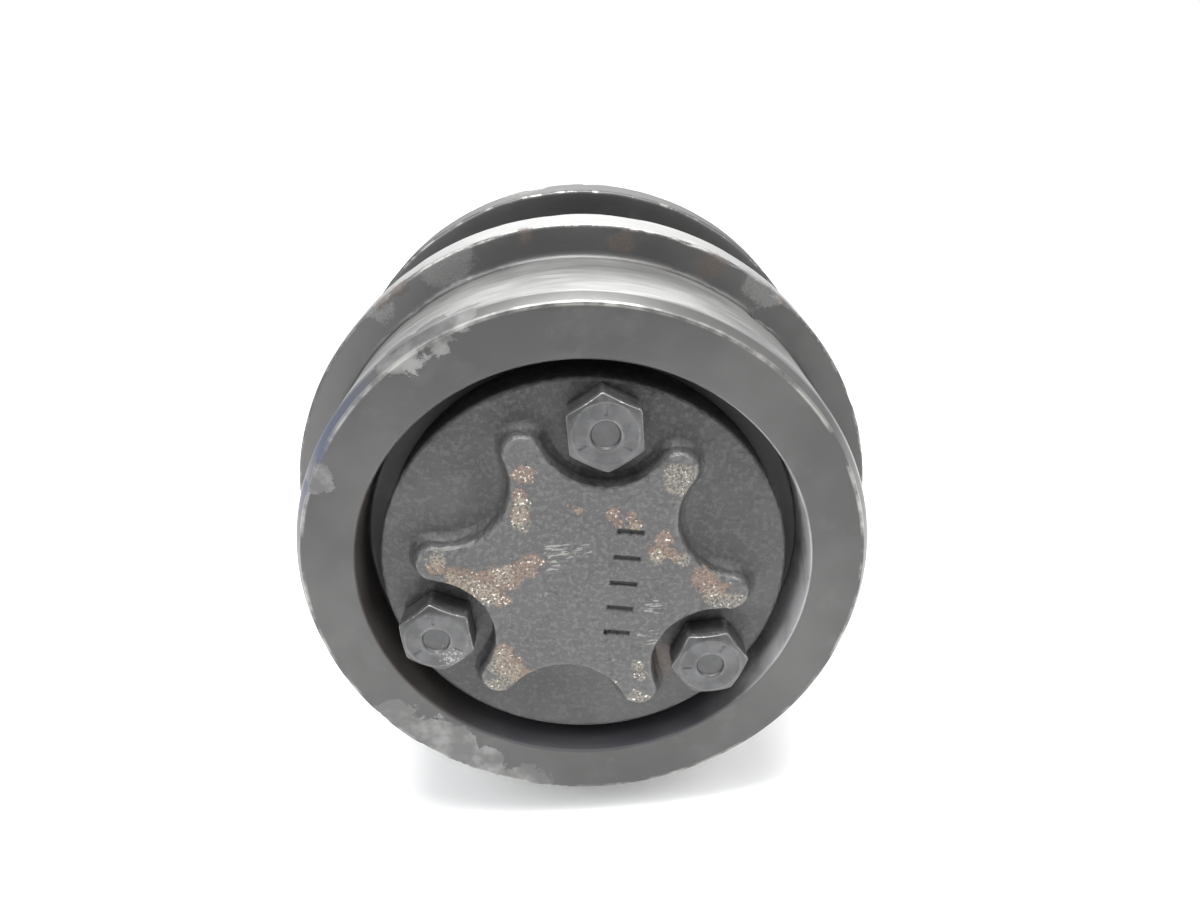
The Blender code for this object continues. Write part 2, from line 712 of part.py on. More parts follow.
def make_cage(bearing, parts, cutters, material):
    """A thin conical band through the rollers' axes, with a window for each roller."""
    near = bearing.roller_station - bearing.end_reach - bearing.cage_ring
    far = bearing.roller_station + bearing.end_reach + bearing.cage_ring
    half = bearing.cage_thickness / 2
    corners = [
        (bearing.pitch_line(near) + half, bearing.depth(near)),
        (bearing.pitch_line(far) + half, bearing.depth(far)),
        (bearing.pitch_line(far) - half, bearing.depth(far)),
        (bearing.pitch_line(near) - half, bearing.depth(near)),
    ]
    cage = turned(f"{bearing.name}_cage", corners, material, parts)
    window = roller_mesh(bearing, WINDOW_GAP, WINDOW_GAP, f"{bearing.name}_window")
    work = bmesh.new()
    for index in range(bearing.roller_count):
        shape = window.copy()
        shape.transform(roller_matrix(bearing, index))
        work.from_mesh(shape)
        bpy.data.meshes.remove(shape)
    windows = bpy.data.objects.new(f"{bearing.name}_windows", bpy.data.meshes.new(window.name))
    work.to_mesh(windows.data)
    work.free()
    cutters.objects.link(windows)
    boolean(cage, as_cutter(windows, cutters))
    return cage


# ---- shaft and what is on it -------------------------------------------------------------------


def make_shaft(parts, cutters, material):
    front_cone_end = FRONT_BEARING.depth(FRONT_BEARING.cone_width)
    rear_cone_start = REAR_BEARING.depth(REAR_BEARING.cone_width)
    rear_cone_end = REAR_BEARING.rib_face
    corners = [
        (0.0, SHAFT_FRONT_END),
        (SHAFT_THREAD_RADIUS - SHAFT_CHAMFER / 2, SHAFT_FRONT_END),
        (SHAFT_THREAD_RADIUS, SHAFT_FRONT_END + SHAFT_CHAMFER / 2),
        (SHAFT_THREAD_RADIUS, FRONT_BEARING.rib_face),
        (FRONT_BEARING.bore_radius - SEAT_GAP, FRONT_BEARING.rib_face + SEAT_GAP),
        (FRONT_BEARING.bore_radius - SEAT_GAP, front_cone_end + SHAFT_CHAMFER),
        (SHAFT_MIDDLE_RADIUS, front_cone_end + 3 * SHAFT_CHAMFER),
        (SHAFT_MIDDLE_RADIUS, rear_cone_start - SHAFT_CHAMFER),
        (REAR_BEARING.bore_radius - SEAT_GAP, rear_cone_start),
        (REAR_BEARING.bore_radius - SEAT_GAP, rear_cone_end + SEAT_GAP),
        (SHAFT_SEAT_RADIUS, rear_cone_end + SEAT_GAP),
        (SHAFT_SEAT_RADIUS, COLLAR_FRONT),
        (COLLAR_RADIUS, COLLAR_FRONT),
        (COLLAR_RADIUS, COLLAR_BACK),
        (SHAFT_SEAT_RADIUS, COLLAR_BACK),
        (SHAFT_SEAT_RADIUS, SHAFT_REAR_END - SHAFT_CHAMFER),
        (SHAFT_SEAT_RADIUS - SHAFT_CHAMFER, SHAFT_REAR_END),
        (0.0, SHAFT_REAR_END),
    ]
    shaft = turned("shaft", corners, material, parts)
    cross_depth = (FRONT_SHOULDER + REAR_SHOULDER) / 2
    plug_floor = SHAFT_REAR_END - PLUG_BORE_DEPTH
    gallery = axial_cylinder(
        "oil_gallery", GALLERY_RADIUS, cross_depth, plug_floor + PLUG_RECESS, cutters, sides=16
    )
    plug_bore = axial_cylinder(
        "plug_bore", PLUG_RADIUS + SEAT_GAP, plug_floor, SHAFT_REAR_END + PLUG_RECESS, cutters
    )
    bpy.ops.mesh.primitive_cylinder_add(
        vertices=16, radius=CROSS_HOLE_RADIUS, depth=SHAFT_MIDDLE_RADIUS + SHAFT_CHAMFER
    )
    cross_hole = bpy.context.object
    cross_hole.name = "oil_cross_hole"
    half_height = (SHAFT_MIDDLE_RADIUS + SHAFT_CHAMFER) / 2
    cross_hole.location = (0.0, cross_depth + GALLERY_RADIUS - COLLAR_BACK, half_height)
    for tool in (gallery, plug_bore, as_cutter(cross_hole, cutters)):
        boolean(shaft, tool)
    return shaft


def make_oil_fill_plug(parts, cutters, material):
    back = SHAFT_REAR_END - PLUG_RECESS
    corners = [
        (0.0, back - PLUG_LENGTH),
        (PLUG_RADIUS, back - PLUG_LENGTH),
        (PLUG_RADIUS, back),
        (0.0, back),
    ]
    plug = turned("oil_fill_plug", corners, material, parts)
    socket = axial_cylinder(
        "plug_socket",
        PLUG_SOCKET_ACROSS_FLATS / math.sqrt(3),
        back - PLUG_SOCKET_DEPTH,
        back + PLUG_RECESS,
        cutters,
        sides=6,
    )
    boolean(plug, socket)
    return plug


def make_shaft_nut(parts, cutters, material):
    corners = [
        (SHAFT_THREAD_RADIUS + SEAT_GAP, NUT_FRONT),
        (NUT_RADIUS, NUT_FRONT),
        (NUT_RADIUS, NUT_BACK),
        (SHAFT_THREAD_RADIUS + SEAT_GAP, NUT_BACK),
    ]
    nut = turned("shaft_nut", corners, material, parts)
    middle = (NUT_FRONT + NUT_BACK) / 2
    for index in range(NUT_SLOT_COUNT):
        degrees = 360.0 * index / NUT_SLOT_COUNT
        x, z = polar(NUT_RADIUS, degrees)
        slot = box(
            f"nut_slot_{index + 1}",
            (2 * NUT_SLOT_DEPTH, 2 * NUT_THICKNESS, NUT_SLOT_WIDTH),
            (x, middle, z),
            degrees,
            cutters,
        )
        boolean(nut, slot)
    return nut


def make_tab_washer(parts, cutters, material):
    """A thin ring with one tab bent forward into the nut's top slot."""
    ring_radius = NUT_RADIUS - NUT_SLOT_DEPTH / 4
    corners = [
        (SHAFT_THREAD_RADIUS + SEAT_GAP, TAB_WASHER_FRONT),
        (ring_radius, TAB_WASHER_FRONT),
        (ring_radius, TAB_WASHER_BACK),
        (SHAFT_THREAD_RADIUS + SEAT_GAP, TAB_WASHER_BACK),
    ]
    washer = turned("tab_washer", corners, material, parts)
    slot_floor = NUT_RADIUS - NUT_SLOT_DEPTH
    tab_height = NUT_SLOT_DEPTH / 2
    tab_back = TAB_WASHER_FRONT + TAB_WASHER_THICKNESS / 2
    tab = box(
        "washer_tab",
        (TAB_WIDTH, TAB_LENGTH + TAB_WASHER_THICKNESS / 2, tab_height),
        (0.0, tab_back - (TAB_LENGTH + TAB_WASHER_THICKNESS / 2) / 2, slot_floor + tab_height),
        0.0,
        cutters,
    )
    boolean(washer, tab, "UNION")
    return washer


# ---- floating seal -----------------------------------------------------------------------------


def make_seal_ring(name, side, parts, material):
    """Half of the metal face seal. side is -1 for the shell's half and 1 for the shaft's."""
    face = SEAL_PLANE + side * SEAL_FACE_GAP / 2
    back = face + side * SEAL_FACE_THICKNESS
    end = back + side * SEAL_BODY_LENGTH
    corners = [
        (SEAL_INNER_RADIUS, face),
        (SEAL_FACE_RADIUS, face),
        (SEAL_FACE_RADIUS, back),
        (SEAL_BODY_RADIUS, back),
        (SEAL_BODY_RADIUS, end),
        (SEAL_INNER_RADIUS, end),
    ]
    return turned(name, corners, material, parts)


def make_toric(name, side, parts, material):
    bpy.ops.mesh.primitive_torus_add(
        major_segments=SEGMENTS,
        minor_segments=10,
        major_radius=TORIC_CENTRE_RADIUS,
        minor_radius=TORIC_RADIUS,
    )
    toric = bpy.context.object
    toric.name = name
    toric.data.materials.append(material)
    depth = SEAL_PLANE + side * (SEAL_PLANE - FRONT_TORIC_DEPTH)
    toric.data.transform(Matrix.Translation((0.0, 0.0, -depth)))
    place_on_axis(toric)
    for collection in list(toric.users_collection):
        collection.objects.unlink(toric)
    parts.objects.link(toric)
    return toric


def make_seal_housing(parts, material):
    corners = [
        (SHAFT_SEAT_RADIUS + SEAT_GAP, HOUSING_POCKET_FLOOR),
        (SEAL_POCKET_RADIUS, HOUSING_POCKET_FLOOR),
        (SEAL_POCKET_RADIUS, HOUSING_LIP),
        (HOUSING_RADIUS, HOUSING_LIP),
        (HOUSING_RADIUS, HOUSING_BACK, HOUSING_BACK_ROUNDING),
        (SHAFT_SEAT_RADIUS + SEAT_GAP, HOUSING_BACK),
    ]
    return turned("seal_housing", corners, material, parts)


def main():
    clear_scene()
    parts = new_collection("track_roller")
    cutters = new_collection("cutters")

    forged = metal("forged_steel", (0.12, 0.115, 0.11), 0.45)
    cast = metal("cast_iron", (0.11, 0.108, 0.105), 0.6)
    fastener = metal("fastener_steel", (0.16, 0.16, 0.16), 0.4)
    ground = metal("ground_steel", (0.55, 0.55, 0.56), 0.25)
    turned_steel = metal("turned_steel", (0.42, 0.42, 0.43), 0.35)
    pressed = metal("pressed_steel", (0.3, 0.3, 0.31), 0.4)
    rubber = metal("seal_rubber", (0.02, 0.02, 0.02), 0.7, 0.0)
    fibre = metal("gasket_fibre", (0.12, 0.09, 0.06), 0.8, 0.0)

    make_roller_shell(parts, cutters, forged)
    make_end_cap(parts, cutters, cast)
    make_gasket_holes(cutters)
    make_cap_gasket(parts, cutters, fibre)
    make_cap_bolts(parts, cutters, fastener)

    for bearing in (FRONT_BEARING, REAR_BEARING):
        make_cup(bearing, parts, ground)
        make_cone(bearing, parts, ground)
        make_cage(bearing, parts, cutters, pressed)
        make_rollers(bearing, parts, ground)

    make_shaft(parts, cutters, turned_steel)
    make_oil_fill_plug(parts, cutters, fastener)
    make_shaft_nut(parts, cutters, fastener)
    make_tab_washer(parts, cutters, pressed)

    make_seal_ring("rotating_seal_ring", -1, parts, ground)
    make_seal_ring("fixed_seal_ring", 1, parts, ground)
    make_toric("rotating_seal_toric", -1, parts, rubber)
    make_toric("fixed_seal_toric", 1, parts, rubber)
    make_seal_housing(parts, cast)
    shade(parts)


main()
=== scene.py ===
"""Track roller with a star-bossed cap, three cap screws and a cantilevered shaft.

Lengths are in metres. Depth runs along the axle from the front rim face towards the clamped end of
the shaft. Angles about the axle are seen from the front, counterclockwise from +X.
"""

import math

import bpy
import numpy as np
from bpy.props import FloatProperty, FloatVectorProperty, IntProperty, PointerProperty
from mathutils import Matrix, Vector


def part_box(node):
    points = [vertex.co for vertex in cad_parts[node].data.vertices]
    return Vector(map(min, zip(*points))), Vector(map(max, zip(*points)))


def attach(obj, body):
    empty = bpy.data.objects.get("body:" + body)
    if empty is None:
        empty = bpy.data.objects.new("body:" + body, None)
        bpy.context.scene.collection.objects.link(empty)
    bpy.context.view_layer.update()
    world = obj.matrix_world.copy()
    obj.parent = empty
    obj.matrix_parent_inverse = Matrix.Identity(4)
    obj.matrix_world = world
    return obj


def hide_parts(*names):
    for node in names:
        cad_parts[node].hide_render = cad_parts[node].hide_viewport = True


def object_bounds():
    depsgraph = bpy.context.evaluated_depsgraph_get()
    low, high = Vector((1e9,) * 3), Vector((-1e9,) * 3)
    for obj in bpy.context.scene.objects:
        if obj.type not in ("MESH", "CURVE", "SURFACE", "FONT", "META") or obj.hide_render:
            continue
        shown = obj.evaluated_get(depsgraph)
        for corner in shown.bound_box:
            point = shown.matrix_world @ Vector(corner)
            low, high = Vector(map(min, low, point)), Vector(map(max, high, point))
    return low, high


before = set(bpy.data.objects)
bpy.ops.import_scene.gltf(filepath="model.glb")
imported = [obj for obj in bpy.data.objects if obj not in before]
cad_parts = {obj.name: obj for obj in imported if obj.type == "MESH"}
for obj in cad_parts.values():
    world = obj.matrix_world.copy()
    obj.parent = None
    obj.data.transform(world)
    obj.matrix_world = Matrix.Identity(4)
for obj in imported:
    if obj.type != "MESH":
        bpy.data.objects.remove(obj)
CAD_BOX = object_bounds()

bl_info = {
    "name": "Track Roller",
    "version": (1, 0, 0),
    "blender": (4, 5, 0),
    "location": "View3D > Sidebar > Track Roller",
    "description": "Builds the shown surfaces and finishes of a crawler's track roller",
    "category": "Add Mesh",
}

MM = 0.001
TURN = 2 * math.pi
SHELL_LOW, SHELL_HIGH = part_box("roller_shell")
CAP_LOW, CAP_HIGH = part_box("end_cap")
SHAFT_LOW, SHAFT_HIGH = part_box("shaft")
HOUSING_LOW, HOUSING_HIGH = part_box("seal_housing")
PLUG_LOW, PLUG_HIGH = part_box("oil_fill_plug")
BOLTS = ("cap_bolt_1", "cap_bolt_2", "cap_bolt_3")
FRONT = SHELL_LOW.y
THREAD_HOLE_RADIUS = 6.25 * MM
CLEARANCE_HOLE_RADIUS = 6.65 * MM
FLOOR_REACH = 1.1


def depth_of(y):
    return y - FRONT


# ---- sizes and colours -------------------------------------------------------------------------


def length(name, description, default):
    return FloatProperty(
        name=name, description=description, default=default, min=0.0, subtype="DISTANCE", unit="LENGTH"
    )


def colour(name, description, default):
    return FloatVectorProperty(
        name=name, description=description, default=default, size=3, min=0.0, max=1.0, subtype="COLOR"
    )


def angle(name, description, degrees):
    return FloatProperty(
        name=name,
        description=description,
        default=math.radians(degrees),
        subtype="ANGLE",
        unit="ROTATION",
    )


class ShellSettings(bpy.types.PropertyGroup):
    flange_radius: length("Flange radius", "Outer radius of both flanges", SHELL_HIGH.x)
    shell_length: length("Length", "Front rim face to rear rim face", SHELL_HIGH.y - SHELL_LOW.y)
    tread_radius: length("Tread radius", "Radius that rolls on the chain", 70 * MM)
    tread_width: length("Tread width", "Rim face to flange", 34.7 * MM)
    flange_width: length("Flange width", "Thickness of a flange", 14.4 * MM)
    waist_radius: length("Waist radius", "Radius of the groove between the flanges", 60 * MM)
    chamfer_length: length("Chamfer length", "Rim chamfer along the axle", 3.6 * MM)
    chamfer_drop: length("Chamfer drop", "Rim chamfer towards the axle", 2 * MM)
    recess_radius: length("Recess radius", "Inside of the rim, round the cap", 55.2 * MM)
    recess_depth: length("Recess depth", "Rim face to the ledge under the cap", 16.2 * MM)
    forging_relief: length("Forging relief", "Unevenness of the unmachined faces", 0.12 * MM)
    segments: IntProperty(name="Segments", description="Divisions round the shell", default=400, min=64)


class CapSettings(bpy.types.PropertyGroup):
    cap_radius: length("Cap radius", "Outer radius of the cap", CAP_HIGH.x)
    boss_height: length("Boss height", "Star boss above the cap face", 5.7 * MM)
    lobe_reach: length("Lobe reach", "Axle to the end of a lobe", 40.2 * MM)
    lobe_tip_radius: length("Lobe tip radius", "Rounding of a lobe's end", 4.2 * MM)
    valley_floor_radius: length("Valley floor", "Axle to the bottom of a valley", 25.2 * MM)
    lobe_count: IntProperty(name="Lobes", description="Lobes on the star boss", default=6, min=3)
    first_lobe: angle("First lobe", "Direction of the first lobe", 108.5)
    foot_width: length("Foot width", "Reach of the soft foot round the boss", 7 * MM)
    casting_relief: length("Casting relief", "Unevenness of the cast face", 0.10 * MM)
    bar_length: length("Bar length", "Length of a sunk bar", 6.5 * MM)
    bar_width: length("Bar width", "Width of a sunk bar", 1.3 * MM)
    bar_depth: length("Bar depth", "Depth of a sunk bar", 0.7 * MM)
    bar_spacing: length("Bar spacing", "Distance between sunk bars", 7.2 * MM)
    bar_lean: angle("Bar lean", "Direction of the bars", -10.4)
    segments: IntProperty(name="Segments", description="Divisions round the star", default=720, min=120)


class BoltSettings(bpy.types.PropertyGroup):
    across_flats: length("Across flats", "Width of a head", 17.0 * MM)
    head_height: length("Head height", "Height of a head", 8.0 * MM)
    shank_radius: length("Shank radius", "Outer radius of the thread", 6.0 * MM)
    thread_pitch: length("Thread pitch", "Advance in one turn", 1.75 * MM)
    dimple_radius: length("Dimple radius", "Round dimple in the head", 3.5 * MM)
    dimple_depth: length("Dimple depth", "Depth of the dimple", 0.6 * MM)
    segments: IntProperty(name="Segments", description="Divisions round a screw", default=192, min=48)


class ShaftSettings(bpy.types.PropertyGroup):
    collar_radius: length("Collar radius", "Collar against the bracket", SHAFT_HIGH.x)
    seat_radius: length("Seat radius", "Length held by the bracket", 24 * MM)
    housing_radius: length("Housing radius", "Outside of the seal housing", HOUSING_HIGH.x)
    plug_radius: length("Plug radius", "Oil plug in the shaft's end", PLUG_HIGH.x)
    socket_across_flats: length("Socket", "Across the flats of the plug's socket", 7 * MM)
    segments: IntProperty(name="Segments", description="Divisions round the shaft", default=256, min=48)


class FinishSettings(bpy.types.PropertyGroup):
    forged: colour("Forged steel", "Dark skin of the shell", (0.089, 0.087, 0.086))
    rolled: colour("Rolled tread", "Tread polished by the chain", (0.40, 0.40, 0.392))
    cast: colour("Cast iron", "Skin of the cap", (0.078, 0.077, 0.077))
    fastener: colour("Fastener steel", "Cap screws", (0.098, 0.098, 0.100))
    bare: colour("Bare metal", "Metal where the skin is gone", (0.62, 0.61, 0.58))
    rust: colour("Rust", "Red rust", (0.205, 0.146, 0.112))
    gold: colour("Old scale", "Pale yellow scale beside the rust", (0.35, 0.32, 0.26))
    turned: colour("Turned steel", "Shaft as it leaves the lathe", (0.40, 0.40, 0.405))


class StageSettings(bpy.types.PropertyGroup):
    azimuth: angle("Azimuth", "Camera's turn round the object", 0.62)
    elevation: angle("Elevation", "Camera's height above the horizon", 24.34)
    roll: angle("Roll", "Camera's tilt about its own line of sight", -4.62)
    distance: length("Distance", "Camera to the point that it turns round", 239.4 * MM)
    focal_length: FloatProperty(
        name="Focal length",
        description="Camera's focal length",
        default=26.47,
        min=1,
        subtype="DISTANCE_CAMERA",
    )
    floor_tone: colour("Floor", "Floor and backdrop", (0.93, 0.93, 0.93))


# ---- surfaces ----------------------------------------------------------------------------------


def trace(corners, step, arc_step=0.25 * MM, closed=False):
    """Points along straight lines between (radius, depth[, rounding]) corners.

    A rounding of radius q at a corner with half angle h is the arc that touches both lines at
    q / tan h from the corner. Lines are split so that no piece is longer than the step.
    """
    rows = []
    count = len(corners)
    for index, corner in enumerate(corners):
        here = np.array(corner[:2])
        rounding = corner[2] if len(corner) > 2 else 0.0
        if not rounding:
            rows.append(here[None])
            continue
        before = np.array(corners[index - 1][:2]) - here
        after = np.array(corners[(index + 1) % count][:2]) - here
        before, after = before / np.linalg.norm(before), after / np.linalg.norm(after)
        half = math.acos(np.clip(before @ after, -1, 1)) / 2
        middle = before + after
        centre = here + middle / np.linalg.norm(middle) * rounding / math.sin(half)
        start = here + before * rounding / math.tan(half) - centre
        end = here + after * rounding / math.tan(half) - centre
        sweep = math.atan2(start[0] * end[1] - start[1] * end[0], start @ end)
        pieces = max(3, math.ceil(abs(sweep) * rounding / arc_step))
        a = np.linspace(0, sweep, pieces + 1)[:, None]
        rows.append(centre + np.cos(a) * start + np.sin(a) * np.array([-start[1], start[0]]))
    if closed:
        rows.append(rows[0][:1])
    line = np.concatenate(rows)
    gaps = np.linalg.norm(np.diff(line, axis=0), axis=1)
    keep = np.append(gaps > 1e-7, True)
    line, gaps = line[keep], gaps[keep[:-1]]
    splits = np.maximum(1, np.ceil(gaps / step)).astype(int)
    owner = np.repeat(np.arange(len(splits)), splits)
    first = np.concatenate([[0], np.cumsum(splits)[:-1]])
    part = (np.arange(splits.sum()) - first[owner]) / splits[owner]
    dense = line[owner] + (line[owner + 1] - line[owner]) * part[:, None]
    return dense if closed else np.vstack([dense, line[-1]])


def ripple(points, size, seed, waves=14):
    """Smooth unevenness of about -1 to 1: a sum of sine waves of about one length, each running in
    its own seeded direction."""
    chance = np.random.default_rng(seed)
    ways = chance.normal(size=(waves, 3))
    ways /= np.linalg.norm(ways, axis=1, keepdims=True)
    ways *= TURN / (size * chance.uniform(0.7, 1.6, (waves, 1)))
    return np.sin(points @ ways.T + chance.uniform(0, TURN, waves)).sum(-1) / math.sqrt(waves)


def smooth(values, low, high):
    """0 up to low, 1 from high, and 3t^2 - 2t^3 between them."""
    t = np.clip((values - low) / (high - low), 0, 1)
    return t * t * (3 - 2 * t)


def revolve(line, segments):
    """Grid of points: (radius, depth) of the line, row by row, at every angle round the axle."""
    a = np.linspace(0, TURN, segments, endpoint=False)
    return on_axle(line[:, :1], line[:, 1:], a[None])


def on_axle(radius, depth, a, centre=(0.0, 0.0)):
    """(centre x + r cos a, front + depth, centre z + r sin a), for arrays that broadcast."""
    radius, depth, a = np.broadcast_arrays(radius, depth, a)
    return np.stack(
        [centre[0] + radius * np.cos(a), FRONT + depth, centre[1] + radius * np.sin(a)], axis=-1
    )


def skin(name, grid, closed=False, poles=(False, False), **masks):
    """A mesh over grid[row, column]. Columns run round and meet. Rows meet if closed, or end in a
    fan of triangles at a pole. Faces are turned outwards by the sign of the enclosed volume."""
    rows, columns = grid.shape[:2]
    here = np.arange(rows * columns).reshape(rows, columns)
    above = np.roll(here, -1, 0) if closed else here[1:]
    below = here if closed else here[:-1]
    quads = np.stack([below, np.roll(below, -1, 1), np.roll(above, -1, 1), above], -1).reshape(-1, 4)
    points = grid.reshape(-1, 3)
    values = {key: np.broadcast_to(mask, (rows, columns)).reshape(-1) for key, mask in masks.items()}
    fans = []
    for wanted, row, turn in ((poles[0], here[0], -1), (poles[1], here[-1], 1)):
        if wanted:
            middle = np.full(columns, len(points))
            points = np.vstack([points, points[row].mean(0)])
            values = {key: np.append(value, value[row].mean()) for key, value in values.items()}
            fans.append(np.stack([row, np.roll(row, -1), middle][::turn], -1))
    fans = np.concatenate(fans) if fans else np.zeros((0, 3), int)
    a, b, c, d = (points[quads[:, k]] for k in range(4))
    volume = (a * (np.cross(b, c) + np.cross(c, d))).sum()
    if len(fans):
        a, b, c = (points[fans[:, k]] for k in range(3))
        volume += (a * np.cross(b, c)).sum()
    if volume < 0:
        quads, fans = quads[:, ::-1], fans[:, ::-1]
    mesh = bpy.data.meshes.new(name)
    mesh.vertices.add(len(points))
    mesh.vertices.foreach_set("co", points.astype(np.float32).ravel())
    corners = np.concatenate([quads.ravel(), fans.ravel()]).astype(np.int32)
    mesh.loops.add(len(corners))
    mesh.loops.foreach_set("vertex_index", corners)
    sizes = np.concatenate([np.full(len(quads), 4), np.full(len(fans), 3)])
    mesh.polygons.add(len(sizes))
    mesh.polygons.foreach_set("loop_start", np.concatenate([[0], np.cumsum(sizes)[:-1]]).astype(np.int32))
    mesh.update(calc_edges=True)
    for key, value in values.items():
        mesh.attributes.new(key, "FLOAT", "POINT").data.foreach_set("value", value.astype(np.float32))
    if mesh.validate():
        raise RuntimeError(f"{name} has broken faces")
    obj = bpy.data.objects.new(name, mesh)
    bpy.context.scene.collection.objects.link(obj)
    return obj


def soften(obj, degrees=38):
    """Smooth shading, with edges kept sharp past an angle."""
    obj.data.shade_smooth()
    obj.data.set_sharp_from_angle(angle=math.radians(degrees))


def cut(obj, tools):
    """Takes the tools' volume out of a piece, and removes the tools."""
    for tool in tools:
        modifier = obj.modifiers.new("hole", "BOOLEAN")
        modifier.operation = "DIFFERENCE"
        modifier.solver = "EXACT"
        modifier.object = tool
    seen = bpy.context.evaluated_depsgraph_get()
    mesh = bpy.data.meshes.new_from_object(
        obj.evaluated_get(seen), preserve_all_data_layers=True, depsgraph=seen
    )
    obj.modifiers.clear()
    old, obj.data = obj.data, mesh
    bpy.data.meshes.remove(old)
    mesh.name = obj.name
    for tool in tools:
        bpy.data.meshes.remove(tool.data)


def drill(radius, front, back, centre=(0.0, 0.0), segments=48):
    """A closed guide cylinder along the axle between two depths."""
    a = np.linspace(0, TURN, segments, endpoint=False)
    grid = on_axle(np.full((2, 1), radius), np.array([[front], [back]]), a[None], centre)
    return skin("drill", grid, poles=(True, True))


def settle(obj, body, slot, finish, *nodes):
    """Gives a piece its finish and its body, and hides the CAD nodes that it stands for."""
    obj.data.materials.clear()
    obj.data.materials.append(finish)
    soften(obj)
    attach(obj, body)
    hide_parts(*nodes)


# ---- finishes ----------------------------------------------------------------------------------


class Wire:
    """A number that changes over a surface. Arithmetic on it adds Math nodes to its finish."""

    def __init__(self, finish, socket):
        self.finish, self.socket = finish, socket

    def join(self, operation, *values, clamp=False):
        settings = {"operation": operation, "use_clamp": clamp}
        return self.finish.node("ShaderNodeMath", settings, dict(enumerate(values)))

    def __add__(self, other):
        return self.join("ADD", self, other)

    def __sub__(self, other):
        return self.join("SUBTRACT", self, other)

    def __rsub__(self, other):
        return self.join("SUBTRACT", other, self)

    def __mul__(self, other):
        return self.join("MULTIPLY", self, other)

    def __truediv__(self, other):
        return self.join("DIVIDE", self, other)

    def __pow__(self, other):
        return self.join("POWER", self, other)

    def __abs__(self):
        return self.join("ABSOLUTE", self)

    def clipped(self):
        return self.join("ADD", self, 0.0, clamp=True)

    def up_to(self, other):
        return self.join("MAXIMUM", self, other)

    __radd__, __rmul__ = __add__, __mul__


class Finish:
    """A node finish in the piece's own coordinates, written as expressions."""

    def __init__(self, name):
        self.material = bpy.data.materials.new(name)
        self.material.use_nodes = True
        self.tree = self.material.node_tree
        self.shader = self.tree.nodes["Principled BSDF"]
        self.place = self.node("ShaderNodeTexCoord", {}, {}, "Object")
        parts = self.node("ShaderNodeSeparateXYZ", {}, {0: self.place}, None)
        self.x, self.y, self.z = (Wire(self, socket) for socket in parts.outputs)
        self.depth = self.y - FRONT

    def node(self, kind, settings, values, output=0):
        made = self.tree.nodes.new(kind)
        for key, value in settings.items():
            setattr(made, key, value)
        for key, value in values.items():
            if isinstance(value, Wire):
                self.tree.links.new(value.socket, made.inputs[key])
            else:
                made.inputs[key].default_value = value
        return made if output is None else Wire(self, made.outputs[output])

    def mask(self, name):
        return self.node("ShaderNodeAttribute", {"attribute_name": name}, {}, "Fac")

    def radius(self):
        return (self.x * self.x + self.z * self.z) ** 0.5

    def vector(self, x, y, z):
        return self.node("ShaderNodeCombineXYZ", {}, {0: x, 1: y, 2: z})

    def grain(self, size, detail=3.0, roughness=0.55, shift=0.0, at=None, distortion=0.0):
        """Noise of 0 to 1 whose lumps are about one size across."""
        at = at or self.place
        if shift:
            at = self.node(
                "ShaderNodeVectorMath", {"operation": "ADD"}, {0: at, 1: (shift, 2 * shift, -shift)}
            )
        values = {"Scale": 0.6 / size, "Detail": detail, "Roughness": roughness, "Distortion": distortion}
        return self.node("ShaderNodeTexNoise", {}, {"Vector": at, **values})

    def rise(self, value, low, high):
        """0 up to low, 1 from high, and a smooth step between them. It falls where high is lower."""
        values = {"Value": value, "From Min": low, "From Max": high, "To Min": 0.0, "To Max": 1.0}
        if high < low:
            values.update({"From Min": high, "From Max": low, "To Min": 1.0, "To Max": 0.0})
        return self.node("ShaderNodeMapRange", {"interpolation_type": "SMOOTHSTEP"}, values)

    def near(self, x, y, z, reach):
        """1 at a place on the piece, falling to 0 at its reach."""
        gap = self.node(
            "ShaderNodeVectorMath", {"operation": "DISTANCE"}, {0: self.place, 1: (x, y, z)}, "Value"
        )
        return (1 - gap / reach).clipped()

    def blend(self, factor, first, second):
        colours = [value if isinstance(value, Wire) else (*value, 1.0) for value in (first, second)]
        settings = {"data_type": "RGBA"}
        return self.node("ShaderNodeMix", settings, {0: factor, 6: colours[0], 7: colours[1]}, 2)

    def mottle(self, noise, tone, dark, light):
        """The tone times dark where the noise is 0, up to the tone times light where it is 1."""
        return self.blend(noise, tint(tone, dark), tint(tone, light))

    def layers(self, base, *coats):
        """(factor, tone) coats laid over the base in turn."""
        for factor, tone in coats:
            base = self.blend(factor, base, tone)
        return base

    def patches(self, spots, unevenness, low, high):
        """Ragged patches: the largest fall of any (place, reach in millimetres) spot, plus the
        unevenness, stepped from low to high."""
        fall = None
        for place, reach in spots:
            spot = self.near(*place, reach * MM)
            fall = spot if fall is None else fall.up_to(spot)
        return self.rise(fall + unevenness, low, high)

    def relief(self, height, distance, strength):
        values = {"Strength": strength, "Distance": distance, "Height": height}
        return self.node("ShaderNodeBump", {}, values)

    def surface(self, **values):
        for key, value in values.items():
            socket = self.shader.inputs[key.replace("_", " ")]
            if isinstance(value, Wire):
                self.tree.links.new(value.socket, socket)
            else:
                socket.default_value = (*value, 1.0) if isinstance(value, tuple) else value
        return self.material


def tint(values, factor=1.0):
    return tuple(min(1.0, channel * factor) for channel in values)


def at_rim(radius, degrees, depth):
    """Place on the shell from a radius, an angle and a depth, the lengths in millimetres."""
    a = math.radians(degrees)
    return radius * MM * math.cos(a), FRONT + depth * MM, radius * MM * math.sin(a)


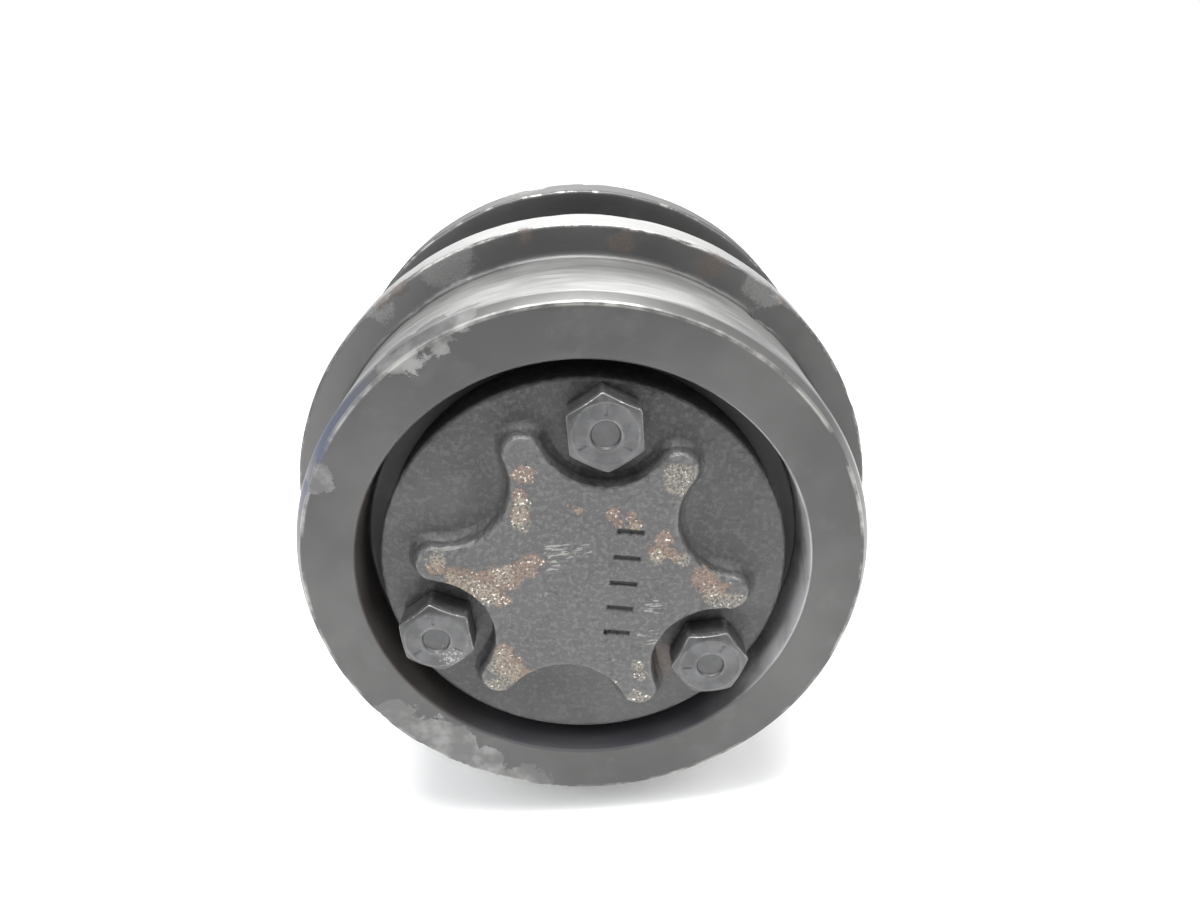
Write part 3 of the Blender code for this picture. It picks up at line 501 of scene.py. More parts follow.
def shell_finish(colours):
    """Dark forging skin, a rolled tread, bare edges, scuffs and a little rust."""
    f = Finish("forged_shell_skin")
    r, d = f.radius(), f.depth
    broad = f.grain(28 * MM, 3.0, 0.6, shift=0.31)
    cloud = f.grain(6 * MM, 4.0, 0.6, shift=0.77)
    sand = f.grain(0.9 * MM, 2.0, 0.6)
    speck = f.grain(0.35 * MM, 1.0, 0.5, shift=0.13)
    half_length = (SHELL_HIGH.y - SHELL_LOW.y) / 2
    end = half_length - abs(d - half_length)
    tread = f.rise(r, 69.55 * MM, 69.8 * MM) * f.rise(end, 33.6 * MM, 32.6 * MM)
    tread = tread * f.rise(r, 72 * MM, 71 * MM)
    streak = f.grain(9 * MM, 5.0, 0.65, at=f.vector(f.x, f.y * 16, f.z), shift=0.2)
    smear = f.grain(14 * MM, 3.0, 0.55, at=f.vector(f.x, f.y * 3.2, f.z), shift=0.5)
    rings = f.grain(0.5 * MM, 1.0, 0.4, at=f.vector(r, f.x * 0.02, f.z * 0.02))
    chamfer = f.rise(end, 3.7 * MM, 3.4 * MM) * f.rise(r, 67.9 * MM, 68.1 * MM)
    rim_edge = f.rise(abs(end - 0.25 * MM), 0.55 * MM, 0.15 * MM) * f.rise(r, 67.1 * MM, 67.6 * MM)
    flange_edge = f.rise(r, 77.2 * MM, 77.9 * MM) * f.rise(abs(end - 41.9 * MM), 5.9 * MM, 6.9 * MM)
    flange_land = f.rise(r, 77.9 * MM, 78.1 * MM)
    pick = f.rise(f.grain(3.2 * MM, 4.0, 0.65, shift=0.9), 0.5, 0.6)

    scuffs = (
        (at_rim(69.2, 121, 3.0), 9.0),
        (at_rim(69.2, 114, 3.6), 9.0),
        (at_rim(69.2, 108, 3.6), 6.5),
        (at_rim(67.2, 152, 0.5), 6.5),
        (at_rim(67.0, 218, 0.4), 11.0),
        (at_rim(66.5, 228, 0.4), 13.0),
        (at_rim(67.2, 240, 0.5), 12.0),
        (at_rim(63.0, 233, 0.0), 10.0),
        (at_rim(68.0, 252, 1.0), 10.0),
    )
    rust_spots = (
        (at_rim(74.5, 78, 34.7), 5.5),
        (at_rim(75.0, 60, 34.7), 6.5),
        (at_rim(77.5, 122, 35.0), 5.0),
        (at_rim(77.6, 126, 36.0), 4.0),
        (at_rim(76.8, 96, 35.0), 4.0),
        (at_rim(78.0, 45, 37.0), 4.0),
    )
    bald_spots = (
        (at_rim(78.0, 112, 36.0), 13.0),
        (at_rim(78.0, 127, 37.0), 8.0),
        (at_rim(78.0, 50, 37.0), 10.0),
        (at_rim(76.5, 98, 105.0), 13.0),
    )
    ragged = (f.grain(3.6 * MM, 6.0, 0.68, shift=1.4, distortion=0.5) - 0.5) * 1.3
    crumbled = (f.grain(1.5 * MM, 4.0, 0.65, shift=2.2) - 0.5) * 1.3
    scraped = f.patches(scuffs, ragged, 0.30, 0.36)
    rusty = f.patches(rust_spots, crumbled, 0.35, 0.62)
    bald = f.patches(bald_spots, ragged, 0.32, 0.48)
    # painted highlight: the front flange's outer land is painted brighter than the rear one
    front_land_highlight = flange_land * f.rise(d, 52 * MM, 50 * MM)
    # painted light: the flange faces are painted lighter on their left side
    left_flange_face_light = f.rise(r, 70.3 * MM, 70.9 * MM) * (1 - flange_land) * f.rise(f.x, 0.0, -45 * MM)
    # painted reflection: a bluish tint on the left part of the rim chamfer
    bluish_reflection = f.near(*at_rim(68.5, 146, 1.8), 24 * MM) * f.rise(r, 67.0 * MM, 68.2 * MM)
    bluish_reflection = bluish_reflection * f.rise(end, 4.4 * MM, 3.4 * MM)
    worn = (rim_edge * f.rise(cloud, 0.38, 0.62) * 0.9 + flange_edge * pick * 0.7).clipped()
    wall = f.rise(r, 55.7 * MM, 55.35 * MM) * f.rise(r, 54.6 * MM, 55.0 * MM)
    wall = wall * f.rise(end, 16.0 * MM, 15.4 * MM)
    ledge = f.rise(r, 55.0 * MM, 54.6 * MM)

    forged, rolled = colours.forged, colours.rolled
    patchy = f.rise(cloud, 0.4, 0.7)
    tread_tone = f.layers(
        f.mottle(f.rise(streak, 0.34, 0.70), rolled, 0.82, 1.25),
        (f.rise(smear, 0.42, 0.66) * 0.35, tint(forged, 1.8)),
    )
    # painted light: the recess wall is painted far lighter on its right side, its tone running from brownish
    # on the left to bluish
    wall_tone_and_light = f.layers(
        f.blend(f.rise(f.x, -50 * MM, -20 * MM), (0.052, 0.045, 0.041), (0.062, 0.062, 0.070)),
        (f.rise(f.x, 26 * MM, 52 * MM), (0.46, 0.46, 0.465)),
        (patchy * 0.5, tint(forged, 0.9)),
    )
    base = f.layers(
        f.mottle(f.rise(broad, 0.35, 0.7), forged, 0.86, 1.18),
        (f.rise(cloud, 0.5, 0.75) * 0.35, tint(forged, 1.55)),
        (tread, tread_tone),
        # painted highlight on the front flange's outer land
        (front_land_highlight * 0.75, f.mottle(streak, rolled, 0.85, 1.5)),
        # painted light on the left side of the flange faces
        (left_flange_face_light * 0.6, tint(forged, 1.9)),
        (chamfer * 0.25, tint(rolled, 0.6)),
        # painted reflection on the left of the rim chamfer
        ((bluish_reflection * 1.4).clipped() * 0.6, (0.10, 0.125, 0.21)),
        (scraped * 0.75, f.blend(patchy, tint(forged, 1.5), tint(rolled, 0.75))),
        (bald * 0.38, f.blend(speck, tint(forged, 1.6), tint(rolled, 1.1))),
        (worn * 0.65, tint(colours.bare, 0.8)),
        (rusty * 0.6, f.blend(speck, (0.035, 0.024, 0.020), tint(colours.rust, 0.6))),
        (wall, wall_tone_and_light),
        # painted shadow: the ledge under the cap is painted near black
        (ledge * 0.6, (0.02, 0.02, 0.02)),
    )
    rough = 0.43 + (cloud - 0.5) * 0.18 + tread * (streak - 0.62) * 0.3
    rough = rough + rusty * 0.3 - worn * 0.08 + wall * 0.15
    height = sand * 0.5 + cloud * 1.2 * (1 - tread) + streak * tread * 0.6 + rings * 0.06
    height = height - scraped * 0.7 - bald * 1.0 + rusty * 0.5
    return f.surface(
        Base_Color=base,
        Metallic=(0.62 + worn * 0.3 + tread * 0.2 - rusty * 0.6 - wall * 0.45).clipped(),
        Roughness=rough.clipped(),
        Normal=f.relief(height, 0.10 * MM, 0.55),
    )


def cap_finish(colours):
    """Sand-cast skin with red rust, pale scale and bright flecks on the star boss."""
    f = Finish("sand_cast_cap_skin")
    boss_top = f.mask("boss")
    edge, bars = f.mask("edge"), f.mask("bars")
    broad = f.grain(14 * MM, 3.0, 0.6, shift=0.4)
    sand = f.grain(0.75 * MM, 2.0, 0.6, shift=0.2)
    pits = f.grain(1.1 * MM, 3.0, 0.6, shift=0.9)
    speck = f.grain(0.42 * MM, 2.0, 0.6, shift=1.7)
    fleck = f.grain(0.5 * MM, 1.0, 0.5, shift=2.9)
    ragged = f.grain(2.3 * MM, 6.0, 0.72, shift=1.2, distortion=0.4)

    def spread(spots, low, high, raggedness=1.9):
        """Patches on the boss round (across, up, reach) spots, in millimetres."""
        places = [((x * MM, CAP_LOW.y, z * MM), reach) for x, z, reach in spots]
        return f.patches(places, (ragged - 0.5) * raggedness, low, high) * boss_top

    rust_spots = (
        (-30.5, 3.5, 4.5), (-26.5, 1.0, 6.0), (-22.0, 0.0, 6.5), (-18.5, 2.5, 6.0), (-14.5, 4.8, 5.0),
        (-11.6, 6.2, 4.2), (-20.5, -3.0, 4.0), (-11.5, 29.5, 4.0), (-12.8, 24.0, 3.4), (-13.5, 19.0, 3.6),
        (8.2, 17.2, 3.0), (9.3, 15.0, 2.6), (12.2, 16.6, 3.2), (13.0, 14.3, 2.8), (0.3, 19.2, 1.8),
        (19.6, 9.6, 3.6), (18.6, 6.6, 4.2), (21.6, 5.2, 3.0), (28.2, -1.6, 4.0), (30.4, -3.8, 4.6),
        (33.2, -5.6, 3.6), (-21.8, -18.6, 3.4), (-21.5, -23.0, 5.0), (-18.0, -27.0, 4.6), (-35.0, 7.0, 3.2),
    )
    pale_spots = (
        (-28.5, 0.8, 5.0), (-24.0, -2.2, 4.6), (-19.4, 3.6, 3.6), (-13.5, 17.0, 3.6), (-12.6, 22.0, 3.0),
        (23.5, 26.5, 4.4), (25.5, 23.0, 5.0), (26.0, 26.0, 4.0), (12.6, 13.6, 2.6), (18.0, 5.0, 3.0),
        (24.2, 4.2, 3.0), (34.2, -9.0, 5.0), (31.5, -7.2, 3.6), (37.0, -9.0, 3.6), (-23.0, -20.6, 4.2),
        (-21.5, -26.4, 5.4), (-25.6, -30.0, 4.8), (-24.0, -24.0, 4.0), (11.0, -37.4, 4.4), (13.2, -38.4, 3.6),
        (11.6, -26.5, 2.8), (12.2, -29.8, 2.6), (5.0, -31.8, 2.2), (-34.5, 9.0, 3.2), (-32.0, 2.0, 3.6),
    )
    scratched_spots = (
        (-6.5, 9.0, 3.6), (-3.0, 8.4, 3.6), (0.6, 8.2, 3.2), (-7.6, 4.6, 3.0), (16.0, -9.0, 4.0),
        (14.5, -19.0, 4.6),
    )
    rust = spread(rust_spots, 0.30, 0.44) * (0.55 + 0.45 * f.rise(speck, 0.36, 0.52))
    pale = spread(pale_spots, 0.26, 0.48) * f.rise(speck, 0.40, 0.56)
    scrape = f.grain(0.7 * MM, 3.0, 0.6, at=f.vector(f.x * 0.3, f.y, f.z * 1.4), shift=3.3)
    scratched = spread(scratched_spots, 0.26, 0.46, 1.2) * f.rise(scrape, 0.53, 0.60)
    bright = f.rise(fleck + (broad - 0.5) * 0.3, 0.61, 0.74) * (rust * 0.8 + pale).clipped()

    shade = f.rise(f.z, 12 * MM, 46 * MM) * (1 - boss_top)
    stain = f.rise(f.near(18 * MM, FRONT + 3.6 * MM, -29 * MM, 9 * MM) + (ragged - 0.5) * 0.5, 0.2, 0.8)

    cast, bare = colours.cast, colours.bare
    base = f.layers(
        f.mottle(f.rise(broad, 0.35, 0.68), cast, 0.84, 1.15),
        (shade * 0.45, tint(cast, 0.5)),
        # painted light: the top of the star boss is painted lighter than the cap face
        (boss_top * 0.6, tint(cast, 1.45)),
        (f.rise(sand, 0.47, 0.64) * (0.26 + boss_top * 0.25), tint(cast, 2.2)),
        (f.rise(pits, 0.43, 0.32) * (0.18 + boss_top * 0.12), tint(cast, 0.5)),
        (edge * f.rise(pits, 0.4, 0.55) * 0.30, tint(bare, 0.45)),
        (scratched * 0.55, tint(bare, 0.62)),
        (rust * 0.80, f.mottle(f.rise(speck, 0.38, 0.62), colours.rust, 0.80, 1.35)),
        (pale * 0.70, f.mottle(sand, colours.gold, 0.6, 1.1)),
        (bright * 0.9, (0.93, 0.90, 0.84)),
        # painted shade: the sunk bars are darkened inside
        (bars * 0.75, tint(cast, 0.22)),
        (stain * 0.30 * (1 - boss_top), tint(colours.rust, 0.9)),
    )
    height = sand * 0.75 + pits * 1.1 + boss_top * (speck * 0.35) + rust * 0.5 - pale * 0.4
    return f.surface(
        Base_Color=base,
        Metallic=(0.55 - rust * 0.4 + bright * 0.4).clipped(),
        Roughness=(0.50 + (sand - 0.5) * 0.2 + rust * 0.2 - bright * 0.2 - edge * 0.05).clipped(),
        Normal=f.relief(height, 0.28 * MM, 0.85),
    )


def bolt_finish(colours):
    """Satin dark steel with worn edges, and bright flecks on one head."""
    f = Finish("cap_screw_steel")
    edge, hollow = f.mask("edge"), f.mask("hollow")
    cloud = f.grain(3.2 * MM, 4.0, 0.6, shift=0.6)
    fine = f.grain(0.4 * MM, 2.0, 0.6, shift=0.3)
    nick = f.rise(f.grain(1.1 * MM, 3.0, 0.65, shift=1.1), 0.52, 0.64)
    worn = (edge * (0.30 + nick * 0.7)).clipped()
    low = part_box(BOLTS[1])[0]
    flecked = f.near(low.x + 12 * MM, low.y, low.z + 4.0 * MM, 8 * MM)
    flecks = f.rise(flecked + (fine - 0.5) * 2.6, 0.80, 1.05)
    base = f.layers(
        f.mottle(f.rise(cloud, 0.35, 0.68), colours.fastener, 0.82, 1.3),
        # painted shade: darker inside the dimple
        (hollow * 0.5, tint(colours.fastener, 0.72)),
        (worn * 0.7, tint(colours.bare, 0.8)),
        (flecks * 0.35, tuple(colours.bare)),
    )
    return f.surface(
        Base_Color=base,
        Metallic=(0.68 + worn * 0.25).clipped(),
        Roughness=(0.40 + (cloud - 0.5) * 0.25 + (fine - 0.5) * 0.12 - worn * 0.06).clipped(),
        Normal=f.relief(fine * 0.5 + cloud * 1.6 - nick * edge * 0.8, 0.07 * MM, 0.5),
    )


def turned_finish(tone):
    """Bright steel with lathe marks round the axle and thin dirt."""
    f = Finish("turned_shaft_steel")
    r = f.radius()
    marks = f.grain(0.35 * MM, 1.0, 0.4, at=f.vector(f.y + r * 0.7, f.x * 0.02, f.z * 0.02))
    cloud = f.grain(9 * MM, 4.0, 0.6, shift=0.5)
    fine = f.grain(0.5 * MM, 2.0, 0.6, shift=0.8)
    dirty = f.rise(cloud, 0.5, 0.72)
    return f.surface(
        Base_Color=f.layers(f.mottle(marks, tone, 0.86, 1.12), (dirty * 0.25, tint(tone, 0.35))),
        Metallic=0.9,
        Roughness=(0.30 + (marks - 0.5) * 0.15 + dirty * 0.2).clipped(),
        Normal=f.relief(marks + fine * 0.3, 0.03 * MM, 0.5),
    )


def cast_housing_finish(colours):
    """Turned iron under a dark film, rougher than the shaft."""
    f = Finish("seal_housing_skin")
    r = f.radius()
    marks = f.grain(0.6 * MM, 1.0, 0.4, at=f.vector(r + f.y * 0.6, f.x * 0.02, f.z * 0.02))
    cloud = f.grain(11 * MM, 4.0, 0.62, shift=0.5)
    sand = f.grain(0.8 * MM, 2.0, 0.6, shift=0.2)
    iron = f.mottle(f.rise(cloud, 0.35, 0.7), colours.cast, 1.0, 1.9)
    return f.surface(
        Base_Color=f.layers(iron, (f.rise(marks, 0.5, 0.7) * 0.4, tint(colours.turned, 0.45))),
        Metallic=0.7,
        Roughness=(0.45 + (cloud - 0.5) * 0.2).clipped(),
        Normal=f.relief(marks * 0.8 + sand * 0.6, 0.07 * MM, 0.5),
    )


def plain_metal_finish(name, tone, rough, lumps):
    """Metal of one tone with fine grain, for the pieces inside."""
    f = Finish(name)
    cloud = f.grain(lumps, 4.0, 0.6, shift=0.7)
    fine = f.grain(0.3 * MM, 2.0, 0.6, shift=0.3)
    return f.surface(
        Base_Color=f.mottle(f.rise(cloud, 0.35, 0.7), tone, 0.8, 1.2),
        Metallic=0.9,
        Roughness=(rough + (cloud - 0.5) * 0.2).clipped(),
        Normal=f.relief(fine * 0.6 + cloud, 0.02 * MM, 0.5),
    )


def rubber_finish():
    """Matt black rubber with a faint moulded grain."""
    f = Finish("toric_rubber")
    cloud = f.grain(4 * MM, 3.0, 0.6)
    fine = f.grain(0.25 * MM, 2.0, 0.5, shift=0.4)
    return f.surface(
        Base_Color=f.blend(cloud, (0.012, 0.012, 0.012), (0.030, 0.029, 0.028)),
        Metallic=0.0,
        Roughness=(0.62 + (cloud - 0.5) * 0.25).clipped(),
        Normal=f.relief(fine, 0.03 * MM, 0.6),
    )


def fibre_finish():
    """Brown pressed fibre, with strands in all directions."""
    f = Finish("gasket_fibre_sheet")
    strand = f.grain(0.6 * MM, 4.0, 0.7, distortion=1.5)
    cloud = f.grain(7 * MM, 3.0, 0.6, shift=0.6)
    strands = f.blend(strand, (0.045, 0.034, 0.024), (0.17, 0.13, 0.09))
    return f.surface(
        Base_Color=f.layers(strands, (f.rise(cloud, 0.4, 0.7) * 0.5, (0.03, 0.026, 0.022))),
        Metallic=0.0,
        Roughness=(0.82 + (strand - 0.5) * 0.15).clipped(),
        Normal=f.relief(strand, 0.05 * MM, 0.7),
    )


def floor_finish(tone):
    """Pale, lightly glossed table top, lit a little from inside like a light table."""
    f = Finish("studio_floor_finish")
    cloud = f.grain(220 * MM, 2.0, 0.5)
    return f.surface(
        Base_Color=f.blend(cloud, tint(tone, 0.985), tuple(tone)),
        Metallic=0.0,
        Roughness=(0.34 + (cloud - 0.5) * 0.04).clipped(),
        Emission_Color=(1.0, 1.0, 1.0),
        Emission_Strength=0.14,
    )


# ---- pieces ------------------------------------------------------------------------------------


def shell_outer(s):
    """Half of the outer line, from the front rim face to the foot of the front flange."""
    front, back = s.tread_width, s.tread_width + s.flange_width
    return [
        (s.tread_radius - s.chamfer_drop, 0.0, 0.45 * MM),
        (s.tread_radius, s.chamfer_length, 0.8 * MM),
        (s.tread_radius, front, 2.0 * MM),
        (s.flange_radius, front, 1.2 * MM),
        (s.flange_radius, back, 1.2 * MM),
        (s.waist_radius, back, 6.0 * MM),
    ]


def shell_bore(s):
    """The inner line, from the rear recess forward to the front rim face."""
    floor = s.recess_depth
    rear = s.shell_length - floor
    lip_seat, pilot_seat = 49.2, 29.0
    bore = (
        (lip_seat, 113.1), (42.4, 113.1), (42.4, 102.95), (36.1, 102.95), (36.1, 86.0), (32.0, 86.0),
        (30.0, 82.0), (30.0, 48.35), (22.0, 44.35), (22.0, 40.35), (26.1, 40.35), (26.1, 22.3),
        (pilot_seat, 22.3),
    )
    inner = [(radius * MM, depth * MM) for radius, depth in bore]
    return [
        (s.recess_radius, s.shell_length, 0.7 * MM),
        (s.recess_radius, rear, 0.8 * MM),
        (lip_seat * MM, rear, 0.3 * MM),
        *inner,
        (pilot_seat * MM, floor),
        (s.recess_radius, floor, 0.8 * MM),
        (s.recess_radius, 0.0, 0.7 * MM),
    ]


DENTS = (  # angle, depth along the axle, reach round, reach along, sink; millimetres but the first
    (122, 35.2, 2.6, 2.2, 0.75), (125, 35.6, 1.6, 1.6, 0.55), (129, 35.0, 3.2, 1.4, 0.5),
    (118, 35.4, 2.0, 1.6, 0.4), (104, 35.0, 4.0, 1.2, 0.35), (46, 35.5, 3.6, 2.6, 1.1),
    (43, 36.6, 1.8, 1.8, 0.6), (58, 35.0, 3.0, 1.4, 0.45), (66, 35.2, 2.2, 1.3, 0.4),
    (228, 0.9, 4.0, 1.2, 0.55), (236, 1.1, 3.0, 1.3, 0.6), (243, 1.0, 4.5, 1.5, 0.7),
    (251, 1.2, 2.4, 1.2, 0.5), (259, 1.0, 3.2, 1.2, 0.45), (214, 0.9, 3.0, 1.1, 0.35),
    (154, 0.8, 3.0, 1.1, 0.3), (20, 35.2, 2.2, 1.3, 0.35), (330, 35.1, 2.6, 1.4, 0.4),
    (96, 104.8, 3.0, 2.4, 0.5), (84, 104.9, 1.8, 1.4, 0.4), (190, 104.9, 2.4, 1.6, 0.45),
    (300, 139.0, 3.4, 1.2, 0.5), (15, 139.1, 2.6, 1.1, 0.4),
)


def make_shell_mesh(s):
    """The shell's closed line turned round the axle.

    From one flange's outer face to the other's, the radius moves by the forging relief times a
    ripple. A dent takes off sink * jag * exp(-(round/reach)^4 - (along/reach)^4), where round is
    the arc length from its middle and jag is a finer ripple of its own. The front rim face sinks a
    little by a ripple too. Nothing stands out past the flange's radius.
    """
    half = shell_outer(s)
    rear = [(corner[0], s.shell_length - corner[1], *corner[2:]) for corner in reversed(half)]
    line = trace([*half, *rear, *shell_bore(s)], 2.0 * MM, 0.33 * MM, closed=True)
    radius, depth = line[:, :1], line[:, 1:]
    a = np.linspace(0, TURN, s.segments, endpoint=False)[None]
    grid = on_axle(radius, depth, a)
    outside = radius > s.recess_radius + 1 * MM
    end = np.minimum(depth, s.shell_length - depth)
    rough = smooth(end, s.tread_width - 0.1 * MM, s.tread_width + 2 * MM) * outside
    uneven = ripple(grid, 17 * MM, 11) * 0.8 + ripple(grid, 6 * MM, 12) * 0.35
    change = uneven * rough * s.forging_relief
    change = change + ripple(grid, 30 * MM, 13) * 0.02 * MM * outside
    on_front_face = (end < 0.02 * MM) & (depth < s.shell_length / 2)
    face_sink = np.abs(ripple(grid, 9 * MM, 14)) * 0.05 * MM * on_front_face
    for degrees, place, reach_round, reach_along, sink in DENTS:
        gap = np.abs((a - math.radians(degrees) + math.pi) % TURN - math.pi) * radius / (reach_round * MM)
        along = np.abs(depth - place * MM) / (reach_along * MM)
        jag = 0.75 + 0.35 * ripple(grid, 1.6 * MM, int(degrees))
        change = change - sink * MM * jag * np.exp(-(gap**4) - along**4) * outside
    moved = np.where(outside, np.minimum(radius + change, s.flange_radius), radius)
    return skin("shell_body", on_axle(moved, depth + face_sink, a), closed=True)


def star_line(s, count):
    """Points and outward directions round the star, evenly spaced along its length.

    Each lobe ends in an arc of the tip radius. The valley arc touches both neighbouring tip arcs
    and the valley floor circle: its centre lies on the valley's middle line at
    (across^2 + along^2 - inner^2) / (2 (along - inner)), for the tip's distances across and along
    that line and inner = floor - tip radius.
    """
    half = math.pi / s.lobe_count
    tip_centre = s.lobe_reach - s.lobe_tip_radius
    across, along = tip_centre * math.sin(half), tip_centre * math.cos(half)
    inner = s.valley_floor_radius - s.lobe_tip_radius
    valley_centre = (across**2 + along**2 - inner**2) / (2 * (along - inner))
    valley_radius = valley_centre - s.valley_floor_radius
    touch = math.atan2(across, valley_centre - along)
    tip_sweep, valley_sweep = 2 * (touch + half), 2 * touch
    tip_length, valley_length = tip_sweep * s.lobe_tip_radius, valley_sweep * valley_radius
    pitch = tip_length + valley_length
    place = (np.arange(count) + 0.5) / count * pitch * s.lobe_count
    lobe, along_lobe = np.floor(place / pitch), place % pitch
    on_tip = along_lobe < tip_length
    lobe_angle = s.first_lobe + 2 * half * lobe
    valley_angle = lobe_angle + half
    tip_turn = lobe_angle - tip_sweep / 2 + along_lobe / s.lobe_tip_radius
    valley_turn = valley_angle + math.pi + touch - (along_lobe - tip_length) / valley_radius
    turn = np.where(on_tip, tip_turn, valley_turn)
    centre_angle = np.where(on_tip, lobe_angle, valley_angle)
    centre_radius = np.where(on_tip, tip_centre, valley_centre)
    reach = np.where(on_tip, s.lobe_tip_radius, valley_radius)
    across_points = centre_radius * np.cos(centre_angle) + reach * np.cos(turn)
    up_points = centre_radius * np.sin(centre_angle) + reach * np.sin(turn)
    sign = np.where(on_tip, 1.0, -1.0)
    outward = np.stack([np.cos(turn) * sign, np.sin(turn) * sign], -1)
    return np.stack([across_points, up_points], -1), outward


def bolt_places():
    """Middle of each screw on the cap, from its CAD node."""
    places = []
    for name in BOLTS:
        low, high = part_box(name)
        places.append(((low.x + high.x) / 2, (low.z + high.z) / 2))
    return np.array(places)


def make_cap_mesh(s):
    """Star boss, soft foot and flat face in front, the pilot and its hollow behind.

    Front rows are copies of the star line, shrunk towards the axle on the top of the boss, moved
    along its outward directions by d over the rounded edge, the drafted side and the foot, and
    then blended in equal steps into the cap's round edge. Height over the face follows a rounded
    line of (d, height) corners, and a halo that fades outwards raises the foot. Near a screw the
    foot is drawn in, and nothing under its head stands above 0.15 mm. The bars are sunk, and a
    ripple moves the rest by the casting relief.
    """
    line, outward = star_line(s, s.segments)
    face = depth_of(CAP_LOW.y) + s.boss_height
    height, wall_end, wall_foot = s.boss_height, 2.6 * MM, 0.8 * MM
    draft = [
        (-1.8 * MM, height), (0.12 * MM, height, 0.7 * MM), (0.95 * MM, 0.9 * MM, 1.5 * MM), (wall_end, 0.0)
    ]
    wall = trace(draft, 0.45 * MM, 0.2 * MM)
    bearing = np.arctan2(line[:, 1], line[:, 0])
    places = bolt_places()
    bolt_angles = np.arctan2(places[:, 1], places[:, 0])
    off = np.abs((bearing[:, None] - bolt_angles + math.pi) % TURN - math.pi).min(1)
    room = smooth(off, math.radians(14), math.radians(27))
    spread = 0.55 + 0.45 * room
    d = wall[:, :1] * np.where(wall[:, :1] > wall_foot, spread[None], 1.0)
    wall_points = line[None] + outward[None] * d[..., None]
    wall_height = np.broadcast_to(wall[:, 1:], d.shape)

    foot_steps = np.linspace(0, 1, 12)[1:, None]
    reach = d[-1:] + (s.foot_width - wall_end) * (0.10 + 0.90 * room[None])
    foot_d = d[-1:] + (reach - d[-1:]) * foot_steps
    foot_points = line[None] + outward[None] * foot_d[..., None]
    foot_height = np.zeros_like(foot_d)

    rim = s.cap_radius - 1.0 * MM
    last = foot_points[-1]
    rim_bearing = np.arctan2(last[:, 1], last[:, 0])
    rim_points = rim * np.stack([np.cos(rim_bearing), np.sin(rim_bearing)], -1)
    steps = np.linspace(0, 1, 15)[1:, None, None]
    out_points = last[None] + (rim_points - last)[None] * steps
    out_height = np.zeros(out_points.shape[:2])

    first = wall_points[0]
    shrink = np.linspace(0, 1, 91)[1:-1] ** 0.93
    top_points = first[None] * shrink[:, None, None]
    top_height = np.full(top_points.shape[:2], height)

    flat = np.concatenate([top_points, wall_points, foot_points, out_points])
    rise = np.concatenate([top_height, wall_height, foot_height, out_height])
    x, z = flat[..., 0], flat[..., 1]
    far_inside, far_outside = np.full(top_height.shape, -1.0), np.full(out_height.shape, 20 * MM)
    outside = np.concatenate([far_inside, d, foot_d, far_outside])
    halo = np.clip(1 - (outside - wall_foot) / (reach - wall_foot), 0, 1) ** 2.2
    halo = np.where(outside > wall_foot, halo, (rise < height - 0.1 * MM) * 1.0)
    rise = rise + halo * 1.5 * MM * room[None] * smooth(height - rise, 0, 3 * MM)

    lean = s.bar_lean
    bar_x, bar_z = x - 9.4 * MM, z + 1.8 * MM
    u = bar_x * math.cos(lean) + bar_z * math.sin(lean)
    v = -bar_x * math.sin(lean) + bar_z * math.cos(lean)
    row = np.clip(np.round(v / s.bar_spacing), -2, 2)
    gap_u = np.abs(u) - s.bar_length / 2
    gap_v = np.abs(v - row * s.bar_spacing) - s.bar_width / 2
    inside = np.maximum(gap_u, gap_v)
    sunk = (1 - smooth(inside, -0.30 * MM, 0.16 * MM)) * (outside < 0)
    rise = rise - s.bar_depth * sunk

    grid3 = np.stack([x, np.zeros_like(x), z], -1)
    cast = ripple(grid3, 11 * MM, 21) * 0.9 + ripple(grid3, 3.6 * MM, 22) * 0.45
    cast = cast + ripple(grid3, 1.7 * MM, 23) * 0.28
    on_boss = smooth(rise, 0.2 * MM, height * 0.8)
    rise = np.minimum(rise + cast * s.casting_relief * (0.35 + 0.65 * on_boss), height)
    seat = np.sqrt(((flat[:, :, None] - places) ** 2).sum(-1)).min(-1)
    rise = np.where(seat < 9.6 * MM, np.minimum(rise, 0.15 * MM + 3 * np.maximum(seat - 9.0 * MM, 0)), rise)

    back = trace(
        [
            (rim, 0.0), (s.cap_radius, 0.0, 0.98 * MM), (s.cap_radius, 12 * MM, 0.3 * MM),
            (28.9 * MM, 12 * MM), (28.9 * MM, 18.4 * MM, 0.5 * MM), (22 * MM, 18.4 * MM, 0.5 * MM),
            (22 * MM, 2.4 * MM, 1.5 * MM), (0.5 * MM, 2.4 * MM),
        ],
        5 * MM, 0.5 * MM,
    )[1:]
    ways = np.stack([np.cos(rim_bearing), np.sin(rim_bearing)], -1)
    back_points = ways[None] * back[:, :1, None]
    back_depth = np.broadcast_to(back[:, 1:], back_points.shape[:2])
    flat = np.concatenate([flat, back_points])
    deep = np.concatenate([-rise, back_depth]) + face
    grid = np.stack([flat[..., 0], FRONT + deep, flat[..., 1]], -1)

    rows = len(rise)
    boss = np.zeros(grid.shape[:2])
    boss[:rows] = smooth(rise, height * 0.35, height * 0.75)
    edge = np.zeros(grid.shape[:2])
    edge[:rows] = np.exp(-(((outside - 0.15 * MM) / (0.6 * MM)) ** 2)) * (rise > height * 0.5)
    edge[rows : rows + 8] = 0.25
    bars = np.zeros(grid.shape[:2])
    bars[:rows] = sunk
    return skin("cap_casting", grid, poles=(True, True), boss=boss, edge=edge, bars=bars)


